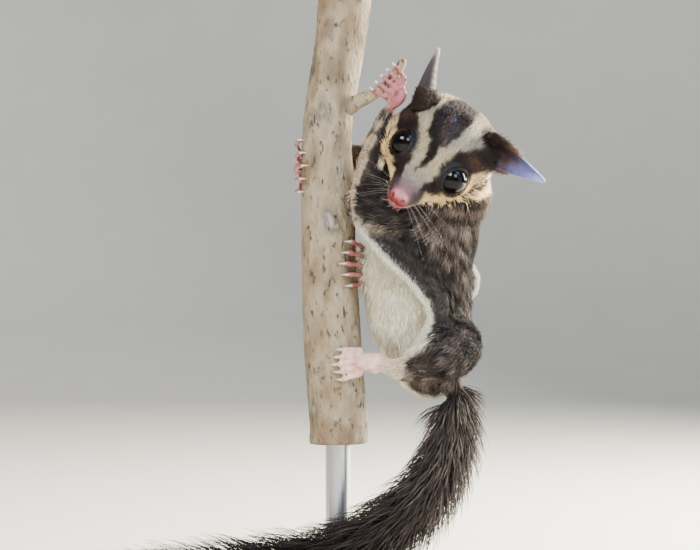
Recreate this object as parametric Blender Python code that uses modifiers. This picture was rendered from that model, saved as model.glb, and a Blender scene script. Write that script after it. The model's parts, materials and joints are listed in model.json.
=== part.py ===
"""A life-size sugar glider clinging to a cut length of branch, held up by a plain display stand.

Everything is in metres, with +Z up. The animal's left side faces -Y, its back faces +X and its
head is turned round to look towards -Y. The animal and the branch are modelled about a working
point beside the chest, and one empty lifts them so that the stand's underside is at zero height.
"""

import math

import bmesh
import bpy
from mathutils import Matrix, Vector

GAP = 0.0003  # clearance between pieces that touch
SLIVERS = (0.00003, 0.00001, 0.000003, 0.000001, 0.0000002)  # merging distances, tried in turn
LEAST_LEFT = 0.04  # a cut that leaves less than this share of a piece has failed

# Stand
BASE_SIZE = (0.160, 0.104, 0.012)
BASE_CENTRE_X = 0.002
BASE_CORNER = 0.016
BASE_EDGE = 0.0015
BASE_TOP = -0.1175  # height of the plate's top face below the working point
ROD_RADIUS = 0.004
LIFT = BASE_SIZE[2] - BASE_TOP  # puts the underside of the plate at zero height

# Branch: centre line and radius, from the bottom cut to the top cut
BRANCH = (
    (-0.0032, 0.0000, -0.0530, 0.0095),
    (-0.0033, 0.0000, -0.0460, 0.0095),
    (-0.0040, 0.0000, -0.0330, 0.0094),
    (-0.0048, 0.0000, -0.0200, 0.0093),
    (-0.0056, 0.0000, -0.0060, 0.0090),
    (-0.0062, 0.0000, 0.0080, 0.0086),
    (-0.0066, 0.0000, 0.0240, 0.0084),
    (-0.0068, 0.0000, 0.0400, 0.0082),
    (-0.0056, 0.0000, 0.0560, 0.0080),
    (-0.0032, 0.0000, 0.0720, 0.0081),
    (-0.0014, 0.0000, 0.0860, 0.0083),
    (-0.0010, 0.0000, 0.0920, 0.0084),
)
TWIG = (
    (-0.0030, -0.0015, 0.0520, 0.0030),
    (0.0030, -0.0045, 0.0558, 0.0024),
    (0.0080, -0.0065, 0.0580, 0.0019),
    (0.0130, -0.0070, 0.0618, 0.0016),
    (0.0172, -0.0075, 0.0680, 0.0014),
)

# Head: the middle of the eyes, and how far the face is turned, nodded and tilted
HEAD_PLACE = Vector((0.0248, -0.0160, 0.0358))
HEAD_TURN = math.radians(6)
HEAD_NOD = math.radians(38)
HEAD_TILT = math.radians(34)
EYE_RADIUS = 0.0046
EYE_SIDE, EYE_FORWARD, EYE_UP = 0.0092, -0.0010, 0.0002
EYE_AXIS = Vector((0.70, 0.62, 0.35)).normalized()
LID_RADIUS, LID_THICKNESS, LID_LEVEL = 0.00430, 0.00080, 0.0015
NOSE_PLACE = Vector((0.0, 0.0142, -0.0066))
NOSE_SIZE = Vector((0.0029, 0.0022, 0.0023))
NOSTRIL_SIDE, NOSTRIL_RADIUS = 0.0020, 0.00055
MOUTH_RADIUS = 0.00045

# Head sections from the nose back: forward, half width, top, bottom, all from the eyes' middle
HEAD_SECTIONS = (
    (0.0157, 0.0012, -0.0060, -0.0084),
    (0.0152, 0.0025, -0.0050, -0.0096),
    (0.0137, 0.0036, -0.0041, -0.0109),
    (0.0110, 0.0047, -0.0029, -0.0120),
    (0.0080, 0.0062, -0.0010, -0.0128),
    (0.0050, 0.0083, 0.0016, -0.0134),
    (0.0020, 0.0108, 0.0044, -0.0140),
    (-0.0010, 0.0130, 0.0068, -0.0146),
    (-0.0050, 0.0153, 0.0094, -0.0152),
    (-0.0100, 0.0172, 0.0117, -0.0156),
    (-0.0150, 0.0178, 0.0130, -0.0152),
    (-0.0200, 0.0168, 0.0128, -0.0138),
    (-0.0240, 0.0140, 0.0108, -0.0110),
    (-0.0266, 0.0098, 0.0076, -0.0078),
    (-0.0278, 0.0042, 0.0032, -0.0036),
)

# Ears: rolled cups. Each grows from its side of the head, points its own way and opens its own way
EAR_BASE_SIDE, EAR_BASE_FORWARD, EAR_BASE_UP = 0.0138, -0.0150, 0.0085
EAR_THICKNESS, EAR_SUNK = 0.0008, 0.0030
EAR_HALF_WIDTH, EAR_DEPTH, EAR_HOOK = 0.0042, 0.0031, 0.0026
EAR_LEFT_LENGTH, EAR_LEFT_WAY, EAR_LEFT_OPEN = 0.0166, Vector((0.80, 0.08, -0.56)), Vector((-0.3, -0.9, -0.3))
EAR_RIGHT_LENGTH, EAR_RIGHT_WAY, EAR_RIGHT_OPEN = 0.0165, Vector((0.12, 0.10, 0.98)), Vector((-0.8, 0.5, 0.0))

# Trunk of the body from the rump up: centre, half depth back to belly, half width side to side
TORSO_SECTIONS = (
    (0.0305, 0.0020, -0.0365, 0.0030, 0.0030),
    (0.0292, 0.0020, -0.0345, 0.0072, 0.0080),
    (0.0268, 0.0020, -0.0300, 0.0108, 0.0128),
    (0.0254, 0.0020, -0.0240, 0.0138, 0.0152),
    (0.0240, 0.0025, -0.0150, 0.0166, 0.0168),
    (0.0228, 0.0035, -0.0060, 0.0176, 0.0177),
    (0.0228, 0.0040, 0.0040, 0.0178, 0.0178),
    (0.0244, 0.0035, 0.0130, 0.0180, 0.0170),
    (0.0274, 0.0025, 0.0210, 0.0168, 0.0155),
    (0.0298, 0.0020, 0.0270, 0.0150, 0.0135),
    (0.0302, 0.0015, 0.0310, 0.0100, 0.0090),
    (0.0302, 0.0015, 0.0325, 0.0040, 0.0040),
)
NECK_SECTIONS = (
    (0.0302, 0.0020, 0.0190, 0.0130, 0.0125),
    (0.0304, 0.0018, 0.0225, 0.0152, 0.0145),
    (0.0304, 0.0012, 0.0290, 0.0160, 0.0150),
    (0.0302, 0.0004, 0.0360, 0.0156, 0.0142),
    (0.0300, -0.0004, 0.0420, 0.0134, 0.0124),
    (0.0298, -0.0008, 0.0460, 0.0060, 0.0060),
)

# Limbs: centre line and radius, from the body out
UPPER_ARM_LEFT = ((0.0215, -0.0080, 0.0215, 0.0090), (0.0130, -0.0122, 0.0205, 0.0086), (0.0058, -0.0140, 0.0215, 0.0064))
FOREARM_LEFT = ((0.0055, -0.0138, 0.0228, 0.0055), (0.0068, -0.0078, 0.0385, 0.0043), (0.0118, -0.0072, 0.0520, 0.0031))
UPPER_ARM_RIGHT = ((0.0255, 0.0110, 0.0235, 0.0086), (0.0175, 0.0165, 0.0305, 0.0076), (0.0100, 0.0188, 0.0365, 0.0056))
FOREARM_RIGHT = ((0.0098, 0.0188, 0.0368, 0.0050), (0.0020, 0.0172, 0.0405, 0.0042), (-0.0050, 0.0132, 0.0412, 0.0030))
THIGH_LEFT = ((0.0322, -0.0030, -0.0200, 0.0100), (0.0321, -0.0100, -0.0216, 0.0106), (0.0288, -0.0168, -0.0244, 0.0090))
SHANK_LEFT = ((0.0246, -0.0166, -0.0263, 0.0068), (0.0194, -0.0150, -0.0284, 0.0057), (0.0153, -0.0133, -0.0291, 0.0044))
THIGH_RIGHT = ((0.0308, 0.0080, -0.0170, 0.0108), (0.0262, 0.0160, -0.0138, 0.0094), (0.0200, 0.0205, -0.0090, 0.0068))
SHANK_RIGHT = ((0.0196, 0.0203, -0.0082, 0.0060), (0.0138, 0.0178, -0.0018, 0.0050), (0.0088, 0.0135, 0.0042, 0.0036))

# Palms and soles: centre line and radius, from the wrist or heel to the knuckles
PALM_LEFT = ((0.0126, -0.0074, 0.0525, 0.0022), (0.0150, -0.0078, 0.0550, 0.0026), (0.0166, -0.0092, 0.0580, 0.0023))
PALM_RIGHT = ((-0.0056, 0.0130, 0.0402, 0.0028), (-0.0100, 0.0112, 0.0378, 0.0032), (-0.0152, 0.0080, 0.0350, 0.0028))
SOLE_LEFT = ((0.0148, -0.0128, -0.0288, 0.0038), (0.0102, -0.0120, -0.0272, 0.0038), (0.0050, -0.0114, -0.0266, 0.0031))
SOLE_RIGHT = ((0.0082, 0.0128, 0.0026, 0.0030), (0.0056, 0.0074, 0.0036, 0.0023), (0.0036, 0.0026, 0.0040, 0.0020))

DIGITS = 5
FINGER_RADIUS, TOE_RADIUS = 0.00115, 0.00125
DIGIT_TAPER, DIGIT_FAN = 0.85, 0.25
KNUCKLE_SWELL, KNUCKLE_LIFT = 0.17, 0.0009
CLAW_ROOT_RADIUS = 0.00055
CLAW_TIP_RADIUS = 0.00018
CLAW_LENGTH = 0.0022

# Gliding membranes: the free edge and the root line, hand to foot
MEMBRANE_THICKNESS = 0.0022
MEMBRANE_LEFT_EDGE = (
    (0.0094, -0.0100, 0.0490),
    (0.0040, -0.0140, 0.0385),
    (0.0008, -0.0180, 0.0270),
    (0.0016, -0.0205, 0.0165),
    (0.0070, -0.0210, 0.0090),
    (0.0130, -0.0200, 0.0024),
    (0.0190, -0.0194, -0.0032),
    (0.0246, -0.0196, -0.0122),
    (0.0212, -0.0200, -0.0182),
    (0.0176, -0.0180, -0.0250),
    (0.0152, -0.0160, -0.0300),
)
MEMBRANE_LEFT_ROOT = (
    (0.0112, -0.0070, 0.0495),
    (0.0085, -0.0085, 0.0385),
    (0.0078, -0.0120, 0.0275),
    (0.0110, -0.0130, 0.0190),
    (0.0160, -0.0125, 0.0130),
    (0.0215, -0.0120, 0.0070),
    (0.0270, -0.0120, 0.0010),
    (0.0320, -0.0125, -0.0090),
    (0.0280, -0.0150, -0.0170),
    (0.0220, -0.0150, -0.0240),
    (0.0180, -0.0135, -0.0290),
)
MEMBRANE_RIGHT_EDGE = (
    (-0.0030, 0.0160, 0.0372),
    (0.0040, 0.0205, 0.0330),
    (0.0110, 0.0240, 0.0260),
    (0.0220, 0.0250, 0.0160),
    (0.0345, 0.0225, 0.0090),
    (0.0420, 0.0180, 0.0030),
    (0.0425, 0.0165, -0.0050),
    (0.0340, 0.0225, -0.0110),
    (0.0220, 0.0265, -0.0080),
    (0.0125, 0.0205, -0.0010),
)
MEMBRANE_RIGHT_ROOT = (
    (-0.0025, 0.0140, 0.0402),
    (0.0055, 0.0175, 0.0380),
    (0.0140, 0.0165, 0.0300),
    (0.0230, 0.0150, 0.0180),
    (0.0300, 0.0135, 0.0090),
    (0.0335, 0.0115, 0.0020),
    (0.0335, 0.0110, -0.0060),
    (0.0290, 0.0140, -0.0110),
    (0.0195, 0.0190, -0.0060),
    (0.0110, 0.0150, 0.0020),
)

# Tail: centre line and radius out to the tips of its hair, with the lengths that it is divided into
TAIL = (
    (0.0312, 0.0030, -0.0290, 0.0045),
    (0.0336, 0.0028, -0.0350, 0.0058),
    (0.0343, 0.0020, -0.0410, 0.0070),
    (0.0332, -0.0004, -0.0500, 0.0090),
    (0.0290, -0.0055, -0.0610, 0.0106),
    (0.0205, -0.0105, -0.0720, 0.0117),
    (0.0090, -0.0147, -0.0808, 0.0123),
    (-0.0050, -0.0175, -0.0872, 0.0126),
    (-0.0200, -0.0185, -0.0905, 0.0126),
    (-0.0370, -0.0180, -0.0925, 0.0125),
    (-0.0540, -0.0160, -0.0945, 0.0121),
    (-0.0700, -0.0130, -0.0968, 0.0113),
    (-0.0860, -0.0095, -0.0995, 0.0097),
    (-0.1000, -0.0060, -0.1022, 0.0072),
    (-0.1095, -0.0035, -0.1045, 0.0045),
    (-0.1160, -0.0020, -0.1065, 0.0016),
)
TAIL_STEPS, TAIL_ROWS, TAIL_SIDES = 240, 8, 10
TAIL_CORE = 0.63  # the core's share of the radius to the hair tips
TAIL_FULL_RADIUS = 0.0125
LOCK_ROWS, LOCKS_ROUND, LOCK_LENGTH, LOCK_TWIST, LOCK_LEAST = 3, 5, 0.12, 0.30, 0.3
# Along each lock: share of its length, reach as a share of the tail's radius, half width, half thickness
LOCK_SHAPE = (
    (0.00, 0.50, 0.0046, 0.0018),
    (0.30, 0.76, 0.0056, 0.0018),
    (0.68, 0.97, 0.0040, 0.0013),
    (1.00, 1.02, 0.0007, 0.0005),
)
TAIL_LENGTHS = (("tail_base", 0.00, 0.34), ("tail_middle", 0.34, 0.68), ("tail_tip", 0.68, 1.00))

FUR_GREY = (0.115, 0.098, 0.090)
FUR_DARK = (0.030, 0.024, 0.022)
FUR_CREAM = (0.62, 0.54, 0.40)
SKIN_PINK = (0.62, 0.30, 0.28)
SKIN_EAR = (0.30, 0.24, 0.26)
EYE_BLACK = (0.006, 0.005, 0.006)
BARK_GREY = (0.36, 0.31, 0.24)
OAK_BROWN = (0.22, 0.13, 0.07)
STEEL_GREY = (0.45, 0.45, 0.46)


def clear_scene():
    """Removes whatever the file starts with."""
    for obj in list(bpy.data.objects):
        bpy.data.objects.remove(obj)


def new_collection(name):
    made = bpy.data.collections.new(name)
    bpy.context.scene.collection.children.link(made)
    return made


def new_material(name, colour, roughness, metallic=0.0):
    made = bpy.data.materials.new(name)
    made.use_nodes = True
    shader = made.node_tree.nodes["Principled BSDF"]
    shader.inputs["Base Color"].default_value = (*colour, 1.0)
    shader.inputs["Roughness"].default_value = roughness
    shader.inputs["Metallic"].default_value = metallic
    return made


def flow(rows, count):
    """The rows read at even steps along one smooth curve through them (Catmull-Rom)."""
    rows = [Vector(row) for row in rows]
    before = rows[0] * 2 - rows[1]
    after = rows[-1] * 2 - rows[-2]
    knots = [before, *rows, after]
    read = []
    for step in range(count):
        place = step / (count - 1) * (len(rows) - 1)
        span = min(int(place), len(rows) - 2)
        t = place - span
        a, b, c, d = knots[span : span + 4]
        read.append(
            0.5 * (2 * b + (c - a) * t + (2 * a - 5 * b + 4 * c - d) * t * t + (3 * b - a - 3 * c + d) * t**3)
        )
    return read


def add_object(name, bm, material, collection):
    """One object of this mesh, with its normals pointing out."""
    bmesh.ops.recalc_face_normals(bm, faces=bm.faces)
    mesh = bpy.data.meshes.new(name)
    bm.to_mesh(mesh)
    bm.free()
    mesh.materials.append(material)
    mesh.shade_smooth()
    mesh.set_sharp_from_angle(angle=math.radians(50))
    obj = bpy.data.objects.new(name, mesh)
    collection.objects.link(obj)
    return obj


def loft(rings):
    """A closed mesh through rings of points, flat across its two ends."""
    bm = bmesh.new()
    loops = [[bm.verts.new(point) for point in ring] for ring in rings]
    for one, two in zip(loops, loops[1:]):
        for i in range(len(one)):
            j = (i + 1) % len(one)
            bm.faces.new((one[i], one[j], two[j], two[i]))
    bm.faces.new(loops[0])
    bm.faces.new(loops[-1])
    return bm


def oval_rings(sections, count, sides):
    """Rings round a centre line: each section holds a centre, a half depth along X and a half width along Y."""
    rows = flow(sections, count)
    rings = []
    for i, row in enumerate(rows):
        before, after = rows[max(i - 1, 0)], rows[min(i + 1, count - 1)]
        along = Vector(after[:3]) - Vector(before[:3])
        along.normalize()
        back = Vector((0.0, 1.0, 0.0)).cross(along).normalized()
        side = along.cross(back).normalized()
        ring = []
        for k in range(sides):
            angle = 2 * math.pi * k / sides
            ring.append(Vector(row[:3]) + back * row[3] * math.cos(angle) + side * row[4] * math.sin(angle))
        rings.append(ring)
    return rings


def as_mesh(curve_object, collection):
    """A curve's tube as one closed mesh object, with its caps welded on."""
    graph = bpy.context.evaluated_depsgraph_get()
    mesh = bpy.data.meshes.new_from_object(curve_object.evaluated_get(graph))
    bm = bmesh.new()
    bm.from_mesh(mesh)
    bmesh.ops.remove_doubles(bm, verts=bm.verts, dist=0.00001)
    bmesh.ops.recalc_face_normals(bm, faces=bm.faces)
    bm.to_mesh(mesh)
    bm.free()
    made = bpy.data.objects.new(curve_object.name + "_mesh", mesh)
    made.matrix_world = curve_object.matrix_world
    collection.objects.link(made)
    bpy.data.objects.remove(curve_object)
    mesh.shade_smooth()
    return made


def tube(name, rows, count, resolution, material, collection, round_ends=True):
    """A tube of changing radius through rows of (x, y, z, radius), with round ends."""
    points = flow(rows, count)
    if round_ends:
        first, last = points[0], points[-1]
        start_way = (Vector(first[:3]) - Vector(points[1][:3])).normalized()
        end_way = (Vector(last[:3]) - Vector(points[-2][:3])).normalized()
        for turn in (35, 60, 80):
            reach, rise = math.cos(math.radians(turn)), math.sin(math.radians(turn))
            start = Vector(first[:3]) + start_way * first[3] * rise
            end = Vector(last[:3]) + end_way * last[3] * rise
            points.insert(0, Vector((*start, first[3] * reach)))
            points.append(Vector((*end, last[3] * reach)))
    data = bpy.data.curves.new(name, "CURVE")
    data.dimensions = "3D"
    data.bevel_depth = 1.0
    data.bevel_resolution = resolution
    data.use_fill_caps = True
    data.materials.append(material)
    spline = data.splines.new("POLY")
    spline.points.add(len(points) - 1)
    for slot, point in zip(spline.points, points):
        slot.co = (*point[:3], 1.0)
        slot.radius = point[3]
    obj = bpy.data.objects.new(name, data)
    collection.objects.link(obj)
    bpy.context.view_layer.update()
    made = as_mesh(obj, collection)
    made.name = name
    return made


def settle_mesh(obj):
    """Applies the modifiers on this object."""
    bpy.context.view_layer.update()
    graph = bpy.context.evaluated_depsgraph_get()
    mesh = bpy.data.meshes.new_from_object(obj.evaluated_get(graph))
    obj.modifiers.clear()
    obj.data = mesh


def surfaces(bm):
    """The mesh's faces in groups that hang together across shared edges, the largest first."""
    left = set(bm.faces)
    groups = []
    while left:
        seed = left.pop()
        group, front = {seed}, [seed]
        while front:
            for edge in front.pop().edges:
                if len(edge.link_faces) != 2:
                    continue
                for other in edge.link_faces:
                    if other in left:
                        left.remove(other)
                        group.add(other)
                        front.append(other)
        groups.append(group)
    groups.sort(key=lambda group: sum(face.calc_area() for face in group), reverse=True)
    return groups


def keep_largest(obj):
    """Merges the slivers that cuts leave, then keeps only the largest closed surface."""
    for slack in SLIVERS:
        bm = bmesh.new()
        bm.from_mesh(obj.data)
        bmesh.ops.triangulate(bm, faces=bm.faces)
        bmesh.ops.remove_doubles(bm, verts=bm.verts, dist=slack)
        spare = [face for group in surfaces(bm)[1:] for face in group]
        bmesh.ops.delete(bm, geom=spare, context="FACES")
        loose = [vert for vert in bm.verts if not vert.link_faces]
        bmesh.ops.delete(bm, geom=loose, context="VERTS")
        closed = all(edge.is_manifold for edge in bm.edges)
        if closed:
            bm.to_mesh(obj.data)
        bm.free()
        if closed:
            return
    raise RuntimeError(f"{obj.name} is not closed")


def fuse(obj, pieces, collection_name):
    """Joins closed mesh objects to this one with a single Boolean union, then removes them."""
    group = new_collection(collection_name)
    for piece in pieces:
        for old in list(piece.users_collection):
            old.objects.unlink(piece)
        group.objects.link(piece)
    before = obj.data
    for solver in ("MANIFOLD", "EXACT"):
        obj.data = before.copy()
        join = obj.modifiers.new("join", "BOOLEAN")
        join.operation = "UNION"
        join.solver = solver
        join.operand_type = "COLLECTION"
        join.collection = group
        settle_mesh(obj)
        if closed_volume(obj) > 0:
            break
    for piece in pieces:
        bpy.data.objects.remove(piece)
    bpy.data.collections.remove(group)
    keep_largest(obj)


def grown_copy(obj, by, collection):
    """A copy of this object with its surface moved outwards, to cut its neighbours with."""
    bm = bmesh.new()
    bm.from_mesh(obj.data)
    bm.normal_update()
    moves = [vert.normal * by * min(vert.calc_shell_factor(), 1.6) for vert in bm.verts]
    for vert, move in zip(bm.verts, moves):
        vert.co += move
    mesh = bpy.data.meshes.new(obj.name + "_grown")
    bm.to_mesh(mesh)
    bm.free()
    made = bpy.data.objects.new(obj.name + "_grown", mesh)
    collection.objects.link(made)
    made.hide_render = True
    made.display_type = "WIRE"
    return made


def closed_volume(obj):
    """The volume inside this object's surface, or none where an edge lacks a face on both sides."""
    bm = bmesh.new()
    bm.from_mesh(obj.data)
    closed = len(bm.faces) > 0 and all(edge.is_manifold for edge in bm.edges)
    volume = bm.calc_volume(signed=True) if closed else 0.0
    bm.free()
    return volume


def subtract(obj, cutter):
    """Cuts one closed mesh out of another, with a slower solver where the first spoils it."""
    before = obj.data
    least = closed_volume(obj) * LEAST_LEFT
    for solver, crossing in (("MANIFOLD", False), ("EXACT", False), ("EXACT", True)):
        obj.data = before.copy()
        cut = obj.modifiers.new("cut", "BOOLEAN")
        cut.operation = "DIFFERENCE"
        cut.solver = solver
        cut.use_self = crossing
        cut.use_hole_tolerant = crossing
        cut.object = cutter
        settle_mesh(obj)
        if closed_volume(obj) > least:
            return
    raise RuntimeError(f"{obj.name} cannot be cut clear of {cutter.name}")


def box_of(obj):
    points = [vert.co for vert in obj.data.vertices]
    low = Vector([min(point[i] for point in points) for i in range(3)])
    high = Vector([max(point[i] for point in points) for i in range(3)])
    return low, high


def boxes_meet(one, two):
    (low_a, high_a), (low_b, high_b) = box_of(one), box_of(two)
    return all(low_a[i] < high_b[i] + GAP and low_b[i] < high_a[i] + GAP for i in range(3))


def clear_neighbours(ordered, cutters):
    """Cuts each object clear of those before it in the order, so that neighbours meet face to face."""
    grown = [grown_copy(obj, GAP, cutters) for obj in ordered]
    for i, obj in enumerate(ordered):
        for cutter in grown[:i]:
            if boxes_meet(obj, cutter):
                subtract(obj, cutter)
        keep_largest(obj)


def head_matrix():
    """Turns head coordinates (left, forward, up) into the working frame."""
    facing = Matrix(((1, 0, 0), (0, -1, 0), (0, 0, 1))).to_4x4()
    turn = Matrix.Rotation(-HEAD_TURN, 4, "Z")
    nod = Matrix.Rotation(HEAD_NOD, 4, "X")
    tilt = Matrix.Rotation(HEAD_TILT, 4, "Y")
    return Matrix.Translation(HEAD_PLACE) @ tilt @ nod @ turn @ facing


def put_on_head(obj):
    """Moves a mesh from head coordinates, which are left-handed, into the working frame."""
    obj.data.transform(head_matrix())
    obj.data.flip_normals()


def head_rings(count, sides):
    """Rings of the head from the nose back, with the lower jaw a little narrower than the upper lip."""
    rings = []
    for row in flow(HEAD_SECTIONS, count):
        forward, half_width, top, bottom = row
        middle = bottom + (top - bottom) * 0.45
        ring = []
        for k in range(sides):
            angle = 2 * math.pi * k / sides
            across, rise = math.cos(angle), math.sin(angle)
            height = (top - middle if rise > 0 else middle - bottom) * math.copysign(abs(rise) ** 0.95, rise)
            jaw = 1 - 0.16 * max(0.0, -rise) * max(0.0, min(1.0, (forward + 0.004) / 0.008))
            side = half_width * math.copysign(abs(across) ** 0.92, across) * jaw
            ring.append(Vector((side, forward, middle + height)))
        rings.append(ring)
    return rings


def make_ball(name, centre, size, segments, rings, material, collection):
    """A closed ball, stretched to this size along its three axes."""
    bm = bmesh.new()
    bmesh.ops.create_uvsphere(bm, u_segments=segments, v_segments=rings, radius=1.0)
    bmesh.ops.scale(bm, vec=size, verts=bm.verts)
    bmesh.ops.translate(bm, vec=centre, verts=bm.verts)
    return add_object(name, bm, material, collection)


def make_eye(name, side, material, collection):
    centre = Vector((side * EYE_SIDE, EYE_FORWARD, EYE_UP))
    eye = make_ball(name, centre, (EYE_RADIUS,) * 3, 14, 9, material, collection)
    put_on_head(eye)
    return eye


def make_lid(name, side, material, collection):
    """The rolled rim of both lids, a ring round the eye's opening."""
    axis = Vector((side * EYE_AXIS.x, EYE_AXIS.y, EYE_AXIS.z))
    centre = Vector((side * EYE_SIDE, EYE_FORWARD, EYE_UP)) + axis * LID_LEVEL
    bpy.ops.mesh.primitive_torus_add(
        major_radius=LID_RADIUS, minor_radius=LID_THICKNESS, major_segments=20, minor_segments=6
    )
    made = bpy.context.object
    made.name = name
    made.data.transform(Matrix.Translation(centre) @ axis.to_track_quat("Z", "Y").to_matrix().to_4x4())
    for old in list(made.users_collection):
        old.objects.unlink(made)
    collection.objects.link(made)
    made.data.materials.append(material)
    return made


def mouth_line(side):
    """The line between the lips, from under the nose back along the cheek."""
    return (
        (side * 0.0002, 0.0154, -0.0100, MOUTH_RADIUS),
        (side * 0.0022, 0.0140, -0.0104, MOUTH_RADIUS),
        (side * 0.0042, 0.0110, -0.0098, MOUTH_RADIUS),
        (side * 0.0062, 0.0078, -0.0094, MOUTH_RADIUS),
        (side * 0.0082, 0.0046, -0.0096, MOUTH_RADIUS),
        (side * 0.0098, 0.0022, -0.0104, MOUTH_RADIUS * 0.5),
    )


def make_head(materials, collection, cutters):
    """The head with its nose pad, nostrils, lips and lids."""
    head = add_object("head", loft(head_rings(26, 28)), materials["head"], collection)
    nose = make_ball("nose_pad", NOSE_PLACE, NOSE_SIZE, 14, 8, materials["head"], collection)
    lids = [make_lid("lid", side, materials["head"], collection) for side in (1, -1)]
    fuse(head, [nose, *lids], "head_pieces")
    for side in (1, -1):
        nostril = tube(
            "nostril",
            (
                (side * NOSTRIL_SIDE, 0.0182, -0.0064, NOSTRIL_RADIUS),
                (side * NOSTRIL_SIDE, 0.0152, -0.0066, NOSTRIL_RADIUS),
                (side * NOSTRIL_SIDE * 0.8, 0.0138, -0.0068, NOSTRIL_RADIUS),
            ),
            4,
            1,
            materials["head"],
            cutters,
        )
        subtract(head, nostril)
        lips = tube("lips", mouth_line(side), 9, 1, materials["head"], cutters)
        subtract(head, lips)
        bpy.data.objects.remove(nostril)
        bpy.data.objects.remove(lips)
    keep_largest(head)
    put_on_head(head)
    return head


def make_ear(name, side, length, way, open_way, material, collection):
    """A thin cup rolled from side to side, ending in a point that hooks a little towards the back."""
    base = head_matrix() @ Vector((side * EAR_BASE_SIDE, EAR_BASE_FORWARD, EAR_BASE_UP))
    way = way.normalized()
    open_way = (open_way - way * open_way.dot(way)).normalized()
    across = way.cross(open_way).normalized()
    rows, columns = 10, 10
    bm = bmesh.new()
    grid = []
    for i in range(rows):
        v = i / (rows - 1)
        taper = (1 - v**1.7) ** 0.75 + 0.07
        half_turn = math.radians(128 - 72 * v)
        centre = base + way * ((length + EAR_SUNK) * v - EAR_SUNK) + Vector((EAR_HOOK * v**3, 0.0, 0.0))
        line = []
        for j in range(columns):
            angle = half_turn * (2 * j / (columns - 1) - 1)
            sideways = across * math.sin(angle) * EAR_HALF_WIDTH * taper
            line.append(bm.verts.new(centre + sideways - open_way * math.cos(angle) * EAR_DEPTH * taper))
        grid.append(line)
    for i in range(rows - 1):
        for j in range(columns - 1):
            a, b, c, d = grid[i][j], grid[i][j + 1], grid[i + 1][j + 1], grid[i + 1][j]
            bm.faces.new((a, b, c))
            bm.faces.new((a, c, d))
    ear = add_object(name, bm, material, collection)
    wall = ear.modifiers.new("wall", "SOLIDIFY")
    wall.thickness = EAR_THICKNESS
    wall.offset = 0.0
    settle_mesh(ear)
    return ear


def branch_point(rows, height):
    """The centre and radius of the branch at this height."""
    for low, high in zip(rows, rows[1:]):
        if low[2] <= height <= high[2]:
            share = (height - low[2]) / (high[2] - low[2])
            return Vector(low[:3]).lerp(Vector(high[:3]), share), low[3] + (high[3] - low[3]) * share
    raise ValueError("the height is off the branch")


def digit_rows(centre, along, first, radius, digit_radius, start, stop, offset, drift):
    """One finger or toe bent round a branch, ending in a curved claw."""
    second = along.cross(first)
    rows = []
    steps = 6
    for i in range(steps):
        t = i / (steps - 1)
        angle = math.radians(start + (stop - start) * t)
        thick = digit_radius * (1 + (DIGIT_TAPER - 1) * t + KNUCKLE_SWELL * math.sin(t * math.pi * 3) ** 2)
        lift = radius + thick * 0.9 + KNUCKLE_LIFT * math.cos(math.pi / 2 * t)
        out = first * math.cos(angle) + second * math.sin(angle)
        spot = centre + along * (offset + drift * t) + out * lift
        rows.append((*spot, thick))
    turn = math.copysign(1.0, stop - start)
    for share, rise, thick in ((0.35, 0.0016, CLAW_ROOT_RADIUS), (0.75, 0.0013, 0.0004), (1.0, 0.0006, CLAW_TIP_RADIUS)):
        angle = math.radians(stop) + turn * share * CLAW_LENGTH / radius
        out = first * math.cos(angle) + second * math.sin(angle)
        spot = centre + along * (offset + drift) + out * (radius + rise)
        rows.append((*spot, thick))
    return rows


def make_grip(name, palm, centre, along, first, radius, digit_radius, turns, spread, drift, material, collection):
    """A hand or foot: a palm with five clawed digits bent round the branch."""
    along = along.normalized()
    first = (first - along * first.dot(along)).normalized()
    hand = tube(name, palm, 6, 2, material, collection)
    digits = []
    start, stop = turns
    for k in range(DIGITS):
        across = k - (DIGITS - 1) / 2
        reach = 1.0 - 0.10 * abs(across)
        end = start + (stop - start) * reach
        fan = drift + across * spread * DIGIT_FAN
        rows = digit_rows(centre, along, first, radius, digit_radius, start, end, across * spread, fan)
        inner = Vector(palm[-1][:3]).lerp(Vector(rows[0][:3]), 0.25)
        rows.insert(0, (*inner, digit_radius))
        digits.append(tube(f"{name}_digit_{k}", rows, 8, 1, material, collection, round_ends=False))
    fuse(hand, digits, name + "_digits")
    return hand


def make_membrane(name, edge, root, material, collection):
    """The furred gliding membrane between the limbs, a curved sheet from its root line to its free edge."""
    rows, columns = 22, 3
    edge_points, root_points = flow(edge, rows), flow(root, rows)
    bm = bmesh.new()
    grid = []
    for i in range(rows):
        out = edge_points[i] - root_points[i]
        if i in (0, rows - 1):
            along = (edge_points[1] - edge_points[0]) if i == 0 else (edge_points[-1] - edge_points[-2])
        else:
            along = edge_points[i + 1] - edge_points[i - 1]
        bulge = out.cross(along).normalized() * 0.0008
        line = []
        for j in range(columns):
            t = j / (columns - 1)
            line.append(bm.verts.new(root_points[i].lerp(edge_points[i], t) + bulge * math.sin(math.pi * t)))
        grid.append(line)
    for i in range(rows - 1):
        for j in range(columns - 1):
            a, b, c, d = grid[i][j], grid[i][j + 1], grid[i + 1][j + 1], grid[i + 1][j]
            bm.faces.new((a, b, c))
            bm.faces.new((a, c, d))
    membrane = add_object(name, bm, material, collection)
    wall = membrane.modifiers.new("wall", "SOLIDIFY")
    wall.thickness = MEMBRANE_THICKNESS
    wall.offset = 0.0
    settle_mesh(membrane)
    return membrane


def tail_frames():
    """Every step along the tail: its centre, the radius to its hair tips, its way and two directions across it."""
    rows = flow(TAIL, TAIL_STEPS + 1)
    side = Vector((0.0, 1.0, 0.0))
    frames = []
    for i, row in enumerate(rows):
        before, after = rows[max(i - 1, 0)], rows[min(i + 1, TAIL_STEPS)]
        way = (Vector(after[:3]) - Vector(before[:3])).normalized()
        side = (side - way * side.dot(way)).normalized()
        frames.append((Vector(row[:3]), row[3], way, side, way.cross(side)))
    return frames


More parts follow.
